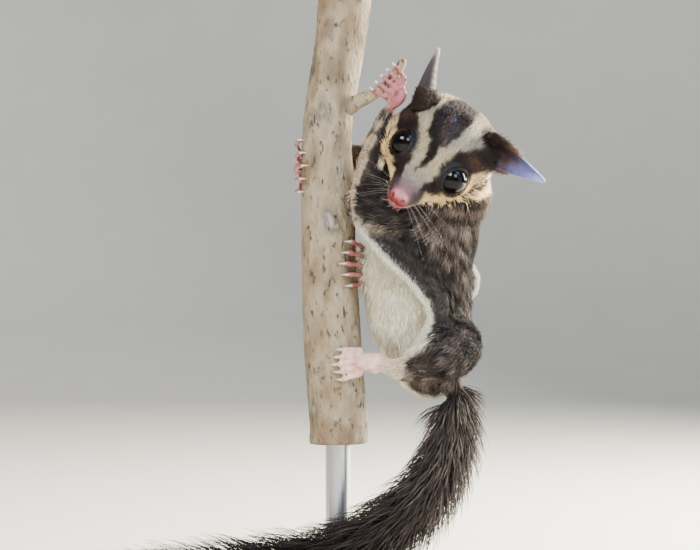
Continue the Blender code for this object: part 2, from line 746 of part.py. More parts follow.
def tail_spot(frames, share, angle, reach):
    """A point of the tail at a share of its length, turned round its centre line, and the way outwards."""
    centre, radius, _, side, up = frames[min(round(share * TAIL_STEPS), TAIL_STEPS)]
    out = side * math.cos(angle) + up * math.sin(angle)
    return centre + out * radius * reach, out


def make_lock(frames, share, angle, length, material, collection):
    """One flat tapered lock of hair: it leaves the core, then bends to lie along the tail."""
    bend = LOCK_TWIST * math.sin(share * 97)
    rings = []
    for step, reach, wide, thick in LOCK_SHAPE:
        place = min(share + length * step, 1.0)
        spot, out = tail_spot(frames, place, angle + bend * step, reach)
        _, radius, way, _, _ = frames[round(place * TAIL_STEPS)]
        across = way.cross(out)
        size = max(LOCK_LEAST, min(1.0, radius / TAIL_FULL_RADIUS))
        rings.append(
            [
                spot + across * wide * size,
                spot + out * thick * size,
                spot - across * wide * size,
                spot - out * thick * size,
            ]
        )
    return add_object("lock", loft(rings), material, collection)


def make_tail_length(name, start, stop, material, collection):
    """One length of the tail: a core, and locks that reach out to the tips of its hair."""
    frames = tail_frames()
    first, last = round(start * TAIL_STEPS), round(stop * TAIL_STEPS)
    rings = []
    for i in range(TAIL_ROWS):
        place = first + (last - first) * i / (TAIL_ROWS - 1)
        centre, radius, way, side, up = frames[round(place)]
        if stop < 1.0 and i == TAIL_ROWS - 1:
            centre = centre - way * GAP
        ring = []
        for k in range(TAIL_SIDES):
            angle = 2 * math.pi * k / TAIL_SIDES
            ring.append(centre + (side * math.cos(angle) + up * math.sin(angle)) * radius * TAIL_CORE)
        rings.append(ring)
    tail = add_object(name, loft(rings), material, collection)
    locks = []
    room = stop - start - (LOCK_LENGTH if stop < 1.0 else LOCK_LENGTH * 0.6)
    for row in range(LOCK_ROWS):
        for k in range(LOCKS_ROUND):
            share = start + 0.004 + room * (row + 0.35 * (k % 2)) / (LOCK_ROWS - 0.65)
            angle = 2 * math.pi * (k + 0.5 * (row % 2)) / LOCKS_ROUND
            length = min(LOCK_LENGTH, 1.0 - share)
            locks.append(make_lock(frames, share, angle, length, material, collection))
    fuse(tail, locks, name + "_locks")
    return tail


def make_branch(material, collection):
    """The cut length of branch, slightly lumpy, with the side twig that the left hand holds."""
    rows = flow(BRANCH, 24)
    rings = []
    for i, row in enumerate(rows):
        ring = []
        for k in range(16):
            angle = 2 * math.pi * k / 16
            ends = min(1.0, i / 2, (len(rows) - 1 - i) / 2)
            lump = 1 + 0.018 * math.sin(3 * angle + 0.7 * i) * ends + 0.015 * math.sin(2 * angle - 0.45 * i) * ends
            ring.append(
                Vector((row[0] + math.cos(angle) * row[3] * lump, row[1] + math.sin(angle) * row[3] * lump, row[2]))
            )
        rings.append(ring)
    branch = add_object("branch", loft(rings), material, collection)
    twig = tube("twig", TWIG, 8, 2, material, collection, round_ends=False)
    fuse(branch, [twig], "branch_pieces")
    return branch


def make_base(material, collection):
    """The stand's flat plate with rounded corners and an eased top edge."""
    bm = bmesh.new()
    bmesh.ops.create_cube(bm, size=1.0)
    bmesh.ops.scale(bm, vec=BASE_SIZE, verts=bm.verts)
    bmesh.ops.translate(bm, vec=(BASE_CENTRE_X, 0.0, BASE_TOP - BASE_SIZE[2] / 2), verts=bm.verts)
    upright = [edge for edge in bm.edges if abs(edge.verts[0].co.z - edge.verts[1].co.z) > BASE_SIZE[2] / 2]
    bmesh.ops.bevel(bm, geom=upright, offset=BASE_CORNER, affect="EDGES", segments=6, profile=0.5, material=-1)
    rim = [edge for edge in bm.edges if all(vert.co.z > BASE_TOP - GAP for vert in edge.verts)]
    bmesh.ops.bevel(bm, geom=rim, offset=BASE_EDGE, affect="EDGES", segments=2, profile=0.5, material=-1)
    return add_object("stand_base", bm, material, collection)


def make_rod(material, collection):
    """The short upright rod between the plate and the branch's lower cut."""
    low, high = BASE_TOP + GAP, BRANCH[0][2] - GAP
    bm = bmesh.new()
    bmesh.ops.create_cone(
        bm, cap_ends=True, segments=24, radius1=ROD_RADIUS, radius2=ROD_RADIUS, depth=high - low
    )
    bmesh.ops.translate(bm, vec=(BRANCH[0][0], BRANCH[0][1], (low + high) / 2), verts=bm.verts)
    return add_object("stand_rod", bm, material, collection)


def main():
    clear_scene()
    parts = new_collection("sugar_glider")
    cutters = new_collection("cutters")
    materials = {
        "fur": new_material("grey_fur", FUR_GREY, 0.85),
        "head": new_material("head_fur", FUR_CREAM, 0.85),
        "cream": new_material("cream_fur", FUR_CREAM, 0.85),
        "tail": new_material("tail_fur", FUR_DARK, 0.85),
        "skin": new_material("pink_skin", SKIN_PINK, 0.55),
        "ear": new_material("ear_skin", SKIN_EAR, 0.6),
        "eye": new_material("eye", EYE_BLACK, 0.05),
        "bark": new_material("bark", BARK_GREY, 0.9),
        "oak": new_material("oak", OAK_BROWN, 0.5),
        "steel": new_material("steel", STEEL_GREY, 0.3, metallic=1.0),
    }
    branch = make_branch(materials["bark"], parts)
    eyes = [make_eye("eye_left", 1, materials["eye"], parts), make_eye("eye_right", -1, materials["eye"], parts)]
    head = make_head(materials, parts, cutters)
    torso = add_object("torso", loft(oval_rings(TORSO_SECTIONS, 17, 22)), materials["fur"], parts)
    neck = add_object("neck", loft(oval_rings(NECK_SECTIONS, 10, 20)), materials["fur"], parts)

    limbs = []
    for name, rows in (
        ("upper_arm_left", UPPER_ARM_LEFT),
        ("upper_arm_right", UPPER_ARM_RIGHT),
        ("thigh_left", THIGH_LEFT),
        ("thigh_right", THIGH_RIGHT),
        ("forearm_left", FOREARM_LEFT),
        ("forearm_right", FOREARM_RIGHT),
        ("shank_left", SHANK_LEFT),
        ("shank_right", SHANK_RIGHT),
    ):
        limbs.append(tube(name, rows, 5, 4 if name.startswith("thigh") else 3, materials["fur"], parts))

    twig_spot = Vector(TWIG[3][:3])
    twig_way = Vector(TWIG[4][:3]) - Vector(TWIG[2][:3])
    up, right = Vector((0.0, 0.0, 1.0)), Vector((1.0, 0.0, 0.0))
    grips = [
        make_grip(
            "hand_left", PALM_LEFT, twig_spot, twig_way, Vector((0.69, 0.0, -0.72)), TWIG[3][3],
            FINGER_RADIUS, (-25.0, -200.0), 0.0018, 0.0, materials["skin"], parts,
        )
    ]
    for name, palm, height, digit_radius, turns, spread, drift in (
        ("hand_right", PALM_RIGHT, 0.0345, FINGER_RADIUS, (150.0, 214.0), 0.0033, 0.0010),
        ("foot_left", SOLE_LEFT, -0.0266, TOE_RADIUS, (-42.0, -84.0), 0.0019, -0.0008),
        ("foot_right", SOLE_RIGHT, 0.0036, TOE_RADIUS, (6.0, -58.0), 0.0028, 0.0008),
    ):
        centre, radius = branch_point(BRANCH, height)
        grips.append(
            make_grip(
                name, palm, centre, up, right, radius, digit_radius, turns, spread, drift, materials["skin"], parts
            )
        )

    tails = [make_tail_length(name, start, stop, materials["tail"], parts) for name, start, stop in TAIL_LENGTHS]
    membranes = [
        make_membrane("membrane_left", MEMBRANE_LEFT_EDGE, MEMBRANE_LEFT_ROOT, materials["cream"], parts),
        make_membrane("membrane_right", MEMBRANE_RIGHT_EDGE, MEMBRANE_RIGHT_ROOT, materials["cream"], parts),
    ]
    ears = [
        make_ear("ear_left", 1, EAR_LEFT_LENGTH, EAR_LEFT_WAY, EAR_LEFT_OPEN, materials["ear"], parts),
        make_ear("ear_right", -1, EAR_RIGHT_LENGTH, EAR_RIGHT_WAY, EAR_RIGHT_OPEN, materials["ear"], parts),
    ]
    clear_neighbours([branch, *eyes, head, *grips, torso, neck, *limbs, *tails, *membranes, *ears], cutters)
    for cutter in list(cutters.objects):
        bpy.data.objects.remove(cutter)
    base = make_base(materials["oak"], parts)
    rod = make_rod(materials["steel"], parts)

    origin = bpy.data.objects.new("underside_centre", None)
    origin.location = (-BASE_CENTRE_X, 0.0, LIFT)
    parts.objects.link(origin)
    for obj in (branch, *eyes, head, torso, neck, *limbs, *grips, *tails, *membranes, *ears, base, rod):
        obj.parent = origin


main()
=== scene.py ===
# %% [markdown]
# # A sugar glider on its branch
# A sugar glider is a small gliding possum. This one clings to a cut length of branch and turns its
# head to look out. The solids of the CAD part give its form; this notebook dresses them. One skin
# goes over all the flesh, a coat of solid tufts goes over the skin, and the eyes, ears, claws,
# whiskers and the branch are made as pieces of their own.

import json
import math

import bmesh
import bpy
import numpy as np
from mathutils import Matrix, Vector
from mathutils.kdtree import KDTree

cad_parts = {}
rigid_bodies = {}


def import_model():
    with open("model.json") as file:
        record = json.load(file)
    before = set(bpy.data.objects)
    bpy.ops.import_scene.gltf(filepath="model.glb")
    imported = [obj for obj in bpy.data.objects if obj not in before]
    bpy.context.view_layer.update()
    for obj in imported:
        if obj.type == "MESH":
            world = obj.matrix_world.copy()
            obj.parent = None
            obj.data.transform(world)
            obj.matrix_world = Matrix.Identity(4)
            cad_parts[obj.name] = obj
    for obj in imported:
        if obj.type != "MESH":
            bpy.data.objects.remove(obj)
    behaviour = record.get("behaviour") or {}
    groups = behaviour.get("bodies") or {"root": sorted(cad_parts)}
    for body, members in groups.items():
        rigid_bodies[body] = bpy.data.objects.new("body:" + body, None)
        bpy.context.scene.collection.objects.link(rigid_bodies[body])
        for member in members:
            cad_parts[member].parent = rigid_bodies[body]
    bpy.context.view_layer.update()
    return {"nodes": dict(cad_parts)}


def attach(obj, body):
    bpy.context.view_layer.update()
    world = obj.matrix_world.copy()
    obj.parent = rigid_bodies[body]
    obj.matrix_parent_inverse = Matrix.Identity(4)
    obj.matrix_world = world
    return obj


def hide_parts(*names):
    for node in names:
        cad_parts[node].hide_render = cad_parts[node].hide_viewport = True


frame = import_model()
nodes = frame["nodes"]
print("frame loaded:", len(nodes), "nodes")

# %% [markdown]
# ## Measures
# The solids were drawn round a working point beside the chest. Repeating that point, and the head's
# place and turn, lets every piece here be placed by the same numbers as the solids, in metres.

# %% The working point and the head's own directions
CHEST = Vector((-0.002, 0.0, 0.1295))
HEAD_PLACE = Vector((0.0248, -0.016, 0.0358)) + CHEST
HEAD_TURN, HEAD_NOD, HEAD_TILT = math.radians(6), math.radians(38), math.radians(34)
MM = 0.001

facing = Matrix(((1, 0, 0), (0, -1, 0), (0, 0, 1))).to_4x4()
turned = Matrix.Rotation(HEAD_NOD, 4, "X") @ Matrix.Rotation(-HEAD_TURN, 4, "Z") @ facing
HEAD_TO_ROW = Matrix.Translation(HEAD_PLACE) @ Matrix.Rotation(HEAD_TILT, 4, "Y") @ turned
ROW_TO_HEAD = HEAD_TO_ROW.inverted()


def moved(points, matrix):
    """Many points, one a line, through one matrix."""
    matrix = np.array(matrix)
    return points @ matrix[:3, :3].T + matrix[:3, 3]


print("eyes' middle at", tuple(round(v, 4) for v in HEAD_TO_ROW.translation))

# %% [markdown]
# ## Camera
# The photograph was taken level with the animal with a long lens, so the camera looks straight along
# +Y at chest height. A 112.5 mm lens at 0.7 m gives 0.32 mm of the animal to each picture point.

# %% Camera
camera_data = bpy.data.cameras.new("camera")
camera_data.lens, camera_data.sensor_width = 112.5, 36.0
camera_data.clip_start = 0.05
camera = bpy.data.objects.new("camera", camera_data)
camera.location = (CHEST.x + 0.0006, -0.7, CHEST.z + 0.0008)
camera.rotation_euler = (math.radians(90), 0.0, 0.0)
bpy.context.collection.objects.link(camera)
bpy.context.scene.camera = camera
print("camera is", round(camera.location.z * 1000), "mm above the floor")

# %% [markdown]
# ## Colours and nodes
# Colours are picked as the eye sees them, in sRGB hex, and shaders want them linear, so one function
# turns them. One more adds a node with its settings and links, and every material is built with it.


# %% Colour and node helpers
def linear(code):
    """An sRGB hex colour as the linear colour that shaders use."""
    parts = [int(code[i : i + 2], 16) / 255 for i in (1, 3, 5)]
    return np.array([v / 12.92 if v <= 0.04045 else ((v + 0.055) / 1.055) ** 2.4 for v in parts])


def opaque(code):
    return (*linear(code), 1.0)


def wire(node, feeds):
    """Feeds a node's sockets with values, outputs, or nodes, of which the first output is taken."""
    for socket, value in feeds.items():
        if isinstance(value, bpy.types.Node):
            value = next(output for output in value.outputs if output.enabled)
        if isinstance(value, bpy.types.NodeSocket):
            node.id_data.links.new(value, node.inputs[socket])
        else:
            node.inputs[socket].default_value = value


def add_node(tree, kind, feeds=(), **settings):
    """Adds one shader node with its settings, and feeds its sockets."""
    made = tree.nodes.new("ShaderNode" + kind)
    for name, value in settings.items():
        setattr(made, name, value)
    wire(made, dict(feeds))
    return made


def new_material(name, **uniform):
    """A material, its node tree and its shader, with the values that are the same all over."""
    made = bpy.data.materials.new(name)
    made.use_nodes = True
    shader = made.node_tree.nodes["Principled BSDF"]
    wire(shader, {socket.replace("_", " "): value for socket, value in uniform.items()})
    return made, made.node_tree, shader


def per_mm(size):
    """The texture scale at which one cell of a pattern is this many millimetres wide."""
    return 1000.0 / size


print("helpers ready")

# %% [markdown]
# ## Curves and tubes
# Fingers, claws, whiskers and the branch are all tubes of changing width. Each starts as a circle,
# and its rim is extruded and carried from point to point along a smooth curve.


# %% Curve and tube helpers
def flow(rows, count):
    """The rows read at even steps along one smooth curve through them (Catmull-Rom)."""
    rows = np.array(rows, dtype=float)
    knots = np.vstack((rows[0] * 2 - rows[1], rows, rows[-1] * 2 - rows[-2]))
    places = np.linspace(0, len(rows) - 1, count)
    span = np.minimum(places.astype(int), len(rows) - 2)
    t = (places - span)[:, None]
    a, b, c, d = (knots[span + k] for k in range(4))
    return 0.5 * (2 * b + (c - a) * t + (2 * a - 5 * b + 4 * c - d) * t**2 + (3 * b - a - 3 * c + d) * t**3)


def ring_matrices(rows):
    """One matrix for each row of x, y, z and radius: it carries a circle there without twisting it."""
    points = [Vector(row[:3]) for row in rows]
    last = len(points) - 1
    ways = [(points[min(i + 1, last)] - points[max(i - 1, 0)]).normalized() for i in range(last + 1)]
    turn = ways[0].to_track_quat("Z", "Y")
    matrices = []
    for i, row in enumerate(rows):
        if i:
            turn = ways[i - 1].rotation_difference(ways[i]) @ turn
        matrices.append(Matrix.LocRotScale(points[i], turn, Vector((row[3],) * 3)))
    return matrices


def grow_tube(bm, rows, sides):
    """Extrudes a circle along rows of x, y, z and radius, and closes both ends."""
    matrices = ring_matrices(rows)
    ring = bmesh.ops.create_circle(bm, cap_ends=True, segments=sides, radius=1.0, matrix=matrices[0])["verts"]
    rings = [ring]
    edges = list({edge for vert in ring for edge in vert.link_edges})
    for before, after in zip(matrices, matrices[1:]):
        grown = bmesh.ops.extrude_edge_only(bm, edges=edges)["geom"]
        ring = [item for item in grown if isinstance(item, bmesh.types.BMVert)]
        edges = [item for item in grown if isinstance(item, bmesh.types.BMEdge)]
        bmesh.ops.transform(bm, matrix=after @ before.inverted(), verts=ring)
        rings.append(ring)
    bmesh.ops.contextual_create(bm, geom=edges)
    return rings


def rounded(rows, turns=(35, 60, 80)):
    """The rows with a round end added at each end."""
    rows = [tuple(row) for row in rows]
    first, last = rows[0], rows[-1]
    start = (Vector(first[:3]) - Vector(rows[1][:3])).normalized() * first[3]
    end = (Vector(last[:3]) - Vector(rows[-2][:3])).normalized() * last[3]
    for turn in turns:
        reach, rise = math.cos(math.radians(turn)), math.sin(math.radians(turn))
        rows.insert(0, (*(Vector(first[:3]) + start * rise), first[3] * reach))
        rows.append((*(Vector(last[:3]) + end * rise), last[3] * reach))
    return rows


def new_piece(name, bm, material, smooth=True):
    """One object of this mesh, its normals pointing out, riding on the part."""
    bmesh.ops.recalc_face_normals(bm, faces=bm.faces)
    mesh = bpy.data.meshes.new(name)
    bm.to_mesh(mesh)
    bm.free()
    mesh.materials.append(material)
    if smooth:
        mesh.shade_smooth()
    obj = bpy.data.objects.new(name, mesh)
    bpy.context.collection.objects.link(obj)
    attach(obj, "root")
    return obj


def settle(obj):
    """Applies this object's modifiers."""
    bpy.context.view_layer.update()
    mesh = bpy.data.meshes.new_from_object(obj.evaluated_get(bpy.context.evaluated_depsgraph_get()))
    obj.modifiers.clear()
    obj.data = mesh


def at_chest(rows):
    """Rows in millimetres from the working point, turned to metres in the part's frame."""
    rows = np.array(rows, dtype=float) / 1000
    rows[:, :3] += np.array(CHEST)
    return rows


print("tubes ready")

# %% [markdown]
# ## Hands and feet
# Each hand and foot has five long digits bent round the wood, with swollen knuckles, a round pad at
# the end and a hooked claw. The digits follow the same arcs as in the solids. Their flesh joins the
# skin, and the claws are kept apart, because horn is another material.

# %% Where the palms, soles and digits run
BRANCH = at_chest(
    (
        (-3.2, 0, -53, 9.5), (-3.3, 0, -46, 9.5), (-4, 0, -33, 9.4), (-4.8, 0, -20, 9.3), (-5.6, 0, -6, 9),
        (-6.2, 0, 8, 8.6), (-6.6, 0, 24, 8.4), (-6.8, 0, 40, 8.2), (-5.6, 0, 56, 8), (-3.2, 0, 72, 8.1),
        (-1.4, 0, 86, 8.3), (-1, 0, 92, 8.4)
    )
)
TWIG = at_chest(
    ((-3, -1.5, 52, 3), (3, -4.5, 55.8, 2.4), (8, -6.5, 58, 1.9), (13, -7, 61.8, 1.6), (17.2, -7.5, 68, 1.4))
)
PALMS = {
    "hand_left": ((12.6, -7.4, 52.5, 2.2), (15, -7.8, 55, 2.6), (16.6, -9.2, 58, 2.3)),
    "hand_right": ((-5.6, 13, 40.2, 2.8), (-10, 11.2, 37.8, 3.2), (-15.2, 8, 35, 2.8)),
    "foot_left": ((14.8, -12.8, -28.8, 3.8), (10.2, -12, -27.2, 3.8), (5, -11.4, -26.6, 3.1)),
    "foot_right": ((8.2, 12.8, 2.6, 3), (5.6, 7.4, 3.6, 2.3), (3.6, 2.6, 4, 2)),
}
FINGER_RADIUS, TOE_RADIUS = 0.00115, 0.00125
# Height on the branch, digit radius, first and last turn, spread along the wood, drift
GRIPS = {
    "hand_right": (0.0345, FINGER_RADIUS, (150.0, 214.0), 0.0033, 0.001),
    "foot_left": (-0.0266, TOE_RADIUS, (-42.0, -84.0), 0.0019, -0.0008),
    "foot_right": (0.0036, TOE_RADIUS, (6.0, -58.0), 0.0028, 0.0008),
}
SLIM = 0.8  # the flesh of a digit, as a share of the solid's, so that gaps show between them
CLAW_ARC = 0.0021
CLAW_ROWS = (
    (-0.15, 0.001, 0.00042), (0.22, 0.0017, 0.00042), (0.5, 0.0018, 0.00034), (0.78, 0.0013, 0.00022),
    (1.0, 0.0004, 0.00005)
)


def digit(centre, along, first, radius, thick_at, turns, offset, drift):
    """The flesh and the claw of one digit bent round the wood, as rows of x, y, z and radius."""
    second = along.cross(first)

    def spot(angle, shift, lift):
        out = first * math.cos(angle) + second * math.sin(angle)
        return (*(centre + along * (offset + shift) + out * lift),)

    start, stop = (math.radians(turn) for turn in turns)
    flesh = []
    for i in range(11):
        t = i / 10
        pad = 0.22 * math.exp(-(((t - 0.93) / 0.1) ** 2))
        thick = thick_at * (1 - 0.22 * t + 0.17 * math.sin(t * math.pi * 3) ** 2 + pad)
        lift = radius + thick * 0.9 + 0.0009 * math.cos(math.pi / 2 * t)
        flesh.append((*spot(start + (stop - start) * t, drift * t, lift), thick))
    way = math.copysign(CLAW_ARC / radius, stop - start)
    claw = [(*spot(stop + way * share, drift, radius + rise), thick) for share, rise, thick in CLAW_ROWS]
    return flesh, claw


def grip_digits(name):
    """The five digits of one hand or foot."""
    palm = at_chest(PALMS[name])
    if name == "hand_left":
        centre = Vector(TWIG[3][:3])
        along = (Vector(TWIG[4][:3]) - Vector(TWIG[2][:3])).normalized()
        first = Vector((0.69, 0.0, -0.72))
        radius, thick, turns, spread, drift = TWIG[3][3], FINGER_RADIUS, (-25.0, -158.0), 0.0021, 0.0
    else:
        height, thick, turns, spread, drift = GRIPS[name]
        share = np.interp(height + CHEST.z, BRANCH[:, 2], np.arange(len(BRANCH)))
        row = [np.interp(share, np.arange(len(BRANCH)), BRANCH[:, k]) for k in range(4)]
        centre, radius = Vector(row[:3]), row[3]
        along, first = Vector((0.0, 0.0, 1.0)), Vector((1.0, 0.0, 0.0))
    first = (first - along * first.dot(along)).normalized()
    thick *= SLIM
    made = []
    for k in range(5):
        across = k - 2
        start, stop = turns
        stop = start + (stop - start) * (1.0 - 0.1 * abs(across))
        fan = drift + across * spread * 0.25
        flesh, claw = digit(centre, along, first, radius, thick, (start, stop), across * spread, fan)
        inner = Vector(palm[-1][:3]).lerp(Vector(flesh[0][:3]), 0.25)
        made.append(([(*inner, thick), *flesh], claw))
    return made


DIGITS = {name: grip_digits(name) for name in PALMS}
print("digits planned:", sum(len(made) for made in DIGITS.values()))

# %% [markdown]
# ## One skin over all the flesh
# The solids are a set of separate forms with thin gaps. Fur grows from one skin, so merged copies of
# the forms are grown until they overlap and remeshed at a third of a millimetre into a single
# surface. Smoothing then melts the joints between limbs and body, and the skin is sunk below the
# solids by the depth of the coat that will lie on it. The tail's skin is a thin core: its bulk is hair.

# %% Gather the flesh
BODY_NODES = (
    "head neck torso upper_arm_left upper_arm_right forearm_left forearm_right thigh_left thigh_right "
    "shank_left shank_right membrane_left membrane_right"
).split()
TAIL_NODES = ("tail_base", "tail_middle", "tail_tip")
TAIL = at_chest(
    (
        (31.2, 3, -29, 4.5), (33.6, 2.8, -35, 5.8), (34.3, 2, -41, 7), (33.2, -0.4, -50, 9),
        (29, -5.5, -61, 10.6), (20.5, -10.5, -72, 11.7), (9, -14.7, -80.8, 12.3), (-5, -17.5, -87.2, 12.6),
        (-20, -18.5, -90.5, 12.6), (-37, -18, -92.5, 12.5), (-54, -16, -94.5, 12.1), (-70, -13, -96.8, 11.3),
        (-86, -9.5, -99.5, 9.7), (-100, -6, -102.2, 7.2), (-109.5, -3.5, -104.5, 4.5), (-116, -2, -106.5, 1.6)
    )
)
OVERLAP = 0.00022
TAIL_ROWS = flow(TAIL, 140)


def gather_flesh():
    """One mesh of all the forms that the skin covers, each slightly grown so that they overlap."""
    whole = bmesh.new()
    for name in BODY_NODES:
        bm = bmesh.new()
        bm.from_mesh(nodes[name].data)
        bmesh.ops.remove_doubles(bm, verts=bm.verts, dist=0.000001)
        bm.normal_update()
        for vert in bm.verts:
            vert.co += vert.normal * OVERLAP
        grown = bpy.data.meshes.new(name + "_grown")
        bm.to_mesh(grown)
        bm.free()
        whole.from_mesh(grown)
        bpy.data.meshes.remove(grown)
    for name, palm in PALMS.items():
        grow_tube(whole, rounded(flow(at_chest(palm), 8)), 20)
        for flesh, _ in DIGITS[name]:
            grow_tube(whole, rounded(flow(flesh, 26)), 14)
    core = TAIL_ROWS.copy()
    core[:, 3] = np.interp(np.linspace(0, 1, len(core)), (0, 0.08, 0.5, 1), (0.0052, 0.004, 0.003, 0.0008))
    grow_tube(whole, rounded(core), 20)
    bmesh.ops.recalc_face_normals(whole, faces=whole.faces)
    return whole


hide_material, hide_tree, hide_shader = new_material("hide_under_fur", Roughness=0.62, Specular_IOR_Level=0.35)
skin = new_piece("skin", gather_flesh(), hide_material)
remesh = skin.modifiers.new("one_surface", "REMESH")
remesh.mode, remesh.voxel_size, remesh.use_smooth_shade = "VOXEL", 0.00032, True
settle(skin)
print("skin remeshed:", len(skin.data.polygons), "faces")

# %% [markdown]
# ## Reading the form
# Every later step asks which part of the body a point belongs to and which way its hair lies. The
# nearest solid names the part. Lines run down the body and out along each limb, and the hair follows
# the lines nearby; on the head it runs back from the nose, and it parts round the eyes.

# %% Parts of the body, and the lines that the hair follows
REGIONS = BODY_NODES + ["tail", "hand_left", "hand_right", "foot_left", "foot_right", "ear_left", "ear_right"]
HEAD, NECK, TORSO = REGIONS.index("head"), REGIONS.index("neck"), REGIONS.index("torso")
HANDS = [REGIONS.index(name) for name in PALMS]
MEMBRANES = [REGIONS.index("membrane_left"), REGIONS.index("membrane_right")]
LIMBS = [REGIONS.index(name) for name in BODY_NODES[3:11]]
TAIL_REGION = REGIONS.index("tail")

BODY_LINES = {
    "torso": ((30, 0, 46, 13), (30, 1, 27, 14), (23.5, 3, 4, 17), (24.5, 2.5, -15, 16), (30.5, 2, -36.5, 5)),
    "upper_arm_left": ((21.5, -8, 21.5, 9), (13, -12.2, 20.5, 8.6), (5.8, -14, 21.5, 6.4)),
    "forearm_left": ((5.5, -13.8, 22.8, 5.5), (6.8, -7.8, 38.5, 4.3), (11.8, -7.2, 52, 3.1)),
    "upper_arm_right": ((25.5, 11, 23.5, 8.6), (17.5, 16.5, 30.5, 7.6), (10, 18.8, 36.5, 5.6)),
    "forearm_right": ((9.8, 18.8, 36.8, 5), (2, 17.2, 40.5, 4.2), (-5, 13.2, 41.2, 3)),
    "thigh_left": ((32.2, -3, -20, 10), (32.1, -10, -21.6, 10.6), (28.8, -16.8, -24.4, 9)),
    "shank_left": ((24.6, -16.6, -26.3, 6.8), (19.4, -15, -28.4, 5.7), (15.3, -13.3, -29.1, 4.4)),
    "thigh_right": ((30.8, 8, -17, 10.8), (26.2, 16, -13.8, 9.4), (20, 20.5, -9, 6.8)),
    "shank_right": ((19.6, 20.3, -8.2, 6), (13.8, 17.8, -1.8, 5), (8.8, 13.5, 4.2, 3.6)),
    **PALMS,
}
LINE_POINTS, LINE_WAYS, LINE_RADII = [], [], []
for rows in BODY_LINES.values():
    line = flow(at_chest(rows), 14)
    ways = np.gradient(line[:, :3], axis=0)
    LINE_POINTS.append(line[:, :3])
    LINE_WAYS.append(ways / np.linalg.norm(ways, axis=1)[:, None])
    LINE_RADII.append(line[:, 3])
LINE_POINTS, LINE_WAYS, LINE_RADII = (np.concatenate(part) for part in (LINE_POINTS, LINE_WAYS, LINE_RADII))

MEMBRANE_EDGES = {
    "membrane_left": (
        (9.4, -10, 49), (4, -14, 38.5), (0.8, -18, 27), (1.6, -20.5, 16.5), (7, -21, 9), (13, -20, 2.4),
        (19, -19.4, -3.2), (24.6, -19.6, -12.2), (21.2, -20, -18.2), (17.6, -18, -25), (15.2, -16, -30)
    ),
    "membrane_right": (
        (-3, 16, 37.2), (4, 20.5, 33), (11, 24, 26), (22, 25, 16), (34.5, 22.5, 9), (42, 18, 3),
        (42.5, 16.5, -5), (34, 22.5, -11), (22, 26.5, -8), (12.5, 20.5, -1)
    ),
}
MEMBRANE_ROOTS = {
    "membrane_left": (
        (11.2, -7, 49.5), (8.5, -8.5, 38.5), (7.8, -12, 27.5), (11, -13, 19), (16, -12.5, 13), (21.5, -12, 7),
        (27, -12, 1), (32, -12.5, -9), (28, -15, -17), (22, -15, -24), (18, -13.5, -29)
    ),
    "membrane_right": (
        (-2.5, 14, 40.2), (5.5, 17.5, 38), (14, 16.5, 30), (23, 15, 18), (30, 13.5, 9), (33.5, 11.5, 2),
        (33.5, 11, -6), (29, 14, -11), (19.5, 19, -6), (11, 15, 2)
    ),
}
EYE_RADIUS, LID_RADIUS = 0.0046, 0.0043
EYE_SPOTS = np.array([HEAD_TO_ROW @ Vector((side * 0.0092, -0.001, 0.0002)) for side in (1, -1)])
EYE_WAYS = [(HEAD_TO_ROW.to_3x3() @ Vector((side * 0.7, 0.62, 0.35))).normalized() for side in (1, -1)]
EAR_WAYS = {1: (0.8, 0.08, -0.56), -1: (0.12, 0.1, 0.98)}
EAR_BASES = {side: HEAD_TO_ROW @ Vector((side * 0.0138, -0.015, 0.0085)) for side in (1, -1)}
print("lines of hair:", len(BODY_LINES))

# %% Finding the part and the lie at any point
known = [
    (vert.co, name) for name in BODY_NODES + ["ear_left", "ear_right"] for vert in nodes[name].data.vertices
]
known += [(row[:3], "tail") for row in TAIL_ROWS[6:]]
for name, palm in PALMS.items():
    known += [(row[:3], name) for row in flow(at_chest(palm), 8)]
    known += [(row[:3], name) for flesh, _ in DIGITS[name] for row in flesh]
region_tree = KDTree(len(known))
for index, (point, _) in enumerate(known):
    region_tree.insert(point, index)
region_tree.balance()
known_regions = [REGIONS.index(name) for _, name in known]


def find_regions(points):
    """The part of the body that each point belongs to."""
    return np.array([known_regions[region_tree.find(point)[1]] for point in points])


def is_part(region, *names):
    """Which of the points belong to any of these parts."""
    return np.isin(region, [REGIONS.index(name) for name in names])


def eyes_away(points):
    """How far each point is from the nearer eye's middle, in metres."""
    return np.min([np.linalg.norm(points - spot, axis=1) for spot in EYE_SPOTS], axis=0)


def ramp(value, low, high):
    """From 0 at low to 1 at high, with soft ends."""
    t = np.clip((value - low) / (high - low), 0.0, 1.0)
    return t * t * (3 - 2 * t)


def unit(vectors):
    return vectors / np.maximum(np.linalg.norm(vectors, axis=1), 1e-9)[:, None]


def along_skin(lies, normals):
    """The lies, pressed down into the skin's own plane."""
    return unit(lies - normals * np.sum(lies * normals, axis=1)[:, None])


def nearest_rows(points, rows):
    """For each point, the nearest of the rows and how far away it is."""
    best = np.full(len(points), 9.0)
    index = np.zeros(len(points), dtype=int)
    for k, row in enumerate(rows):
        away = np.linalg.norm(points - row[:3], axis=1)
        closer = away < best
        best[closer], index[closer] = away[closer], k
    return index, best


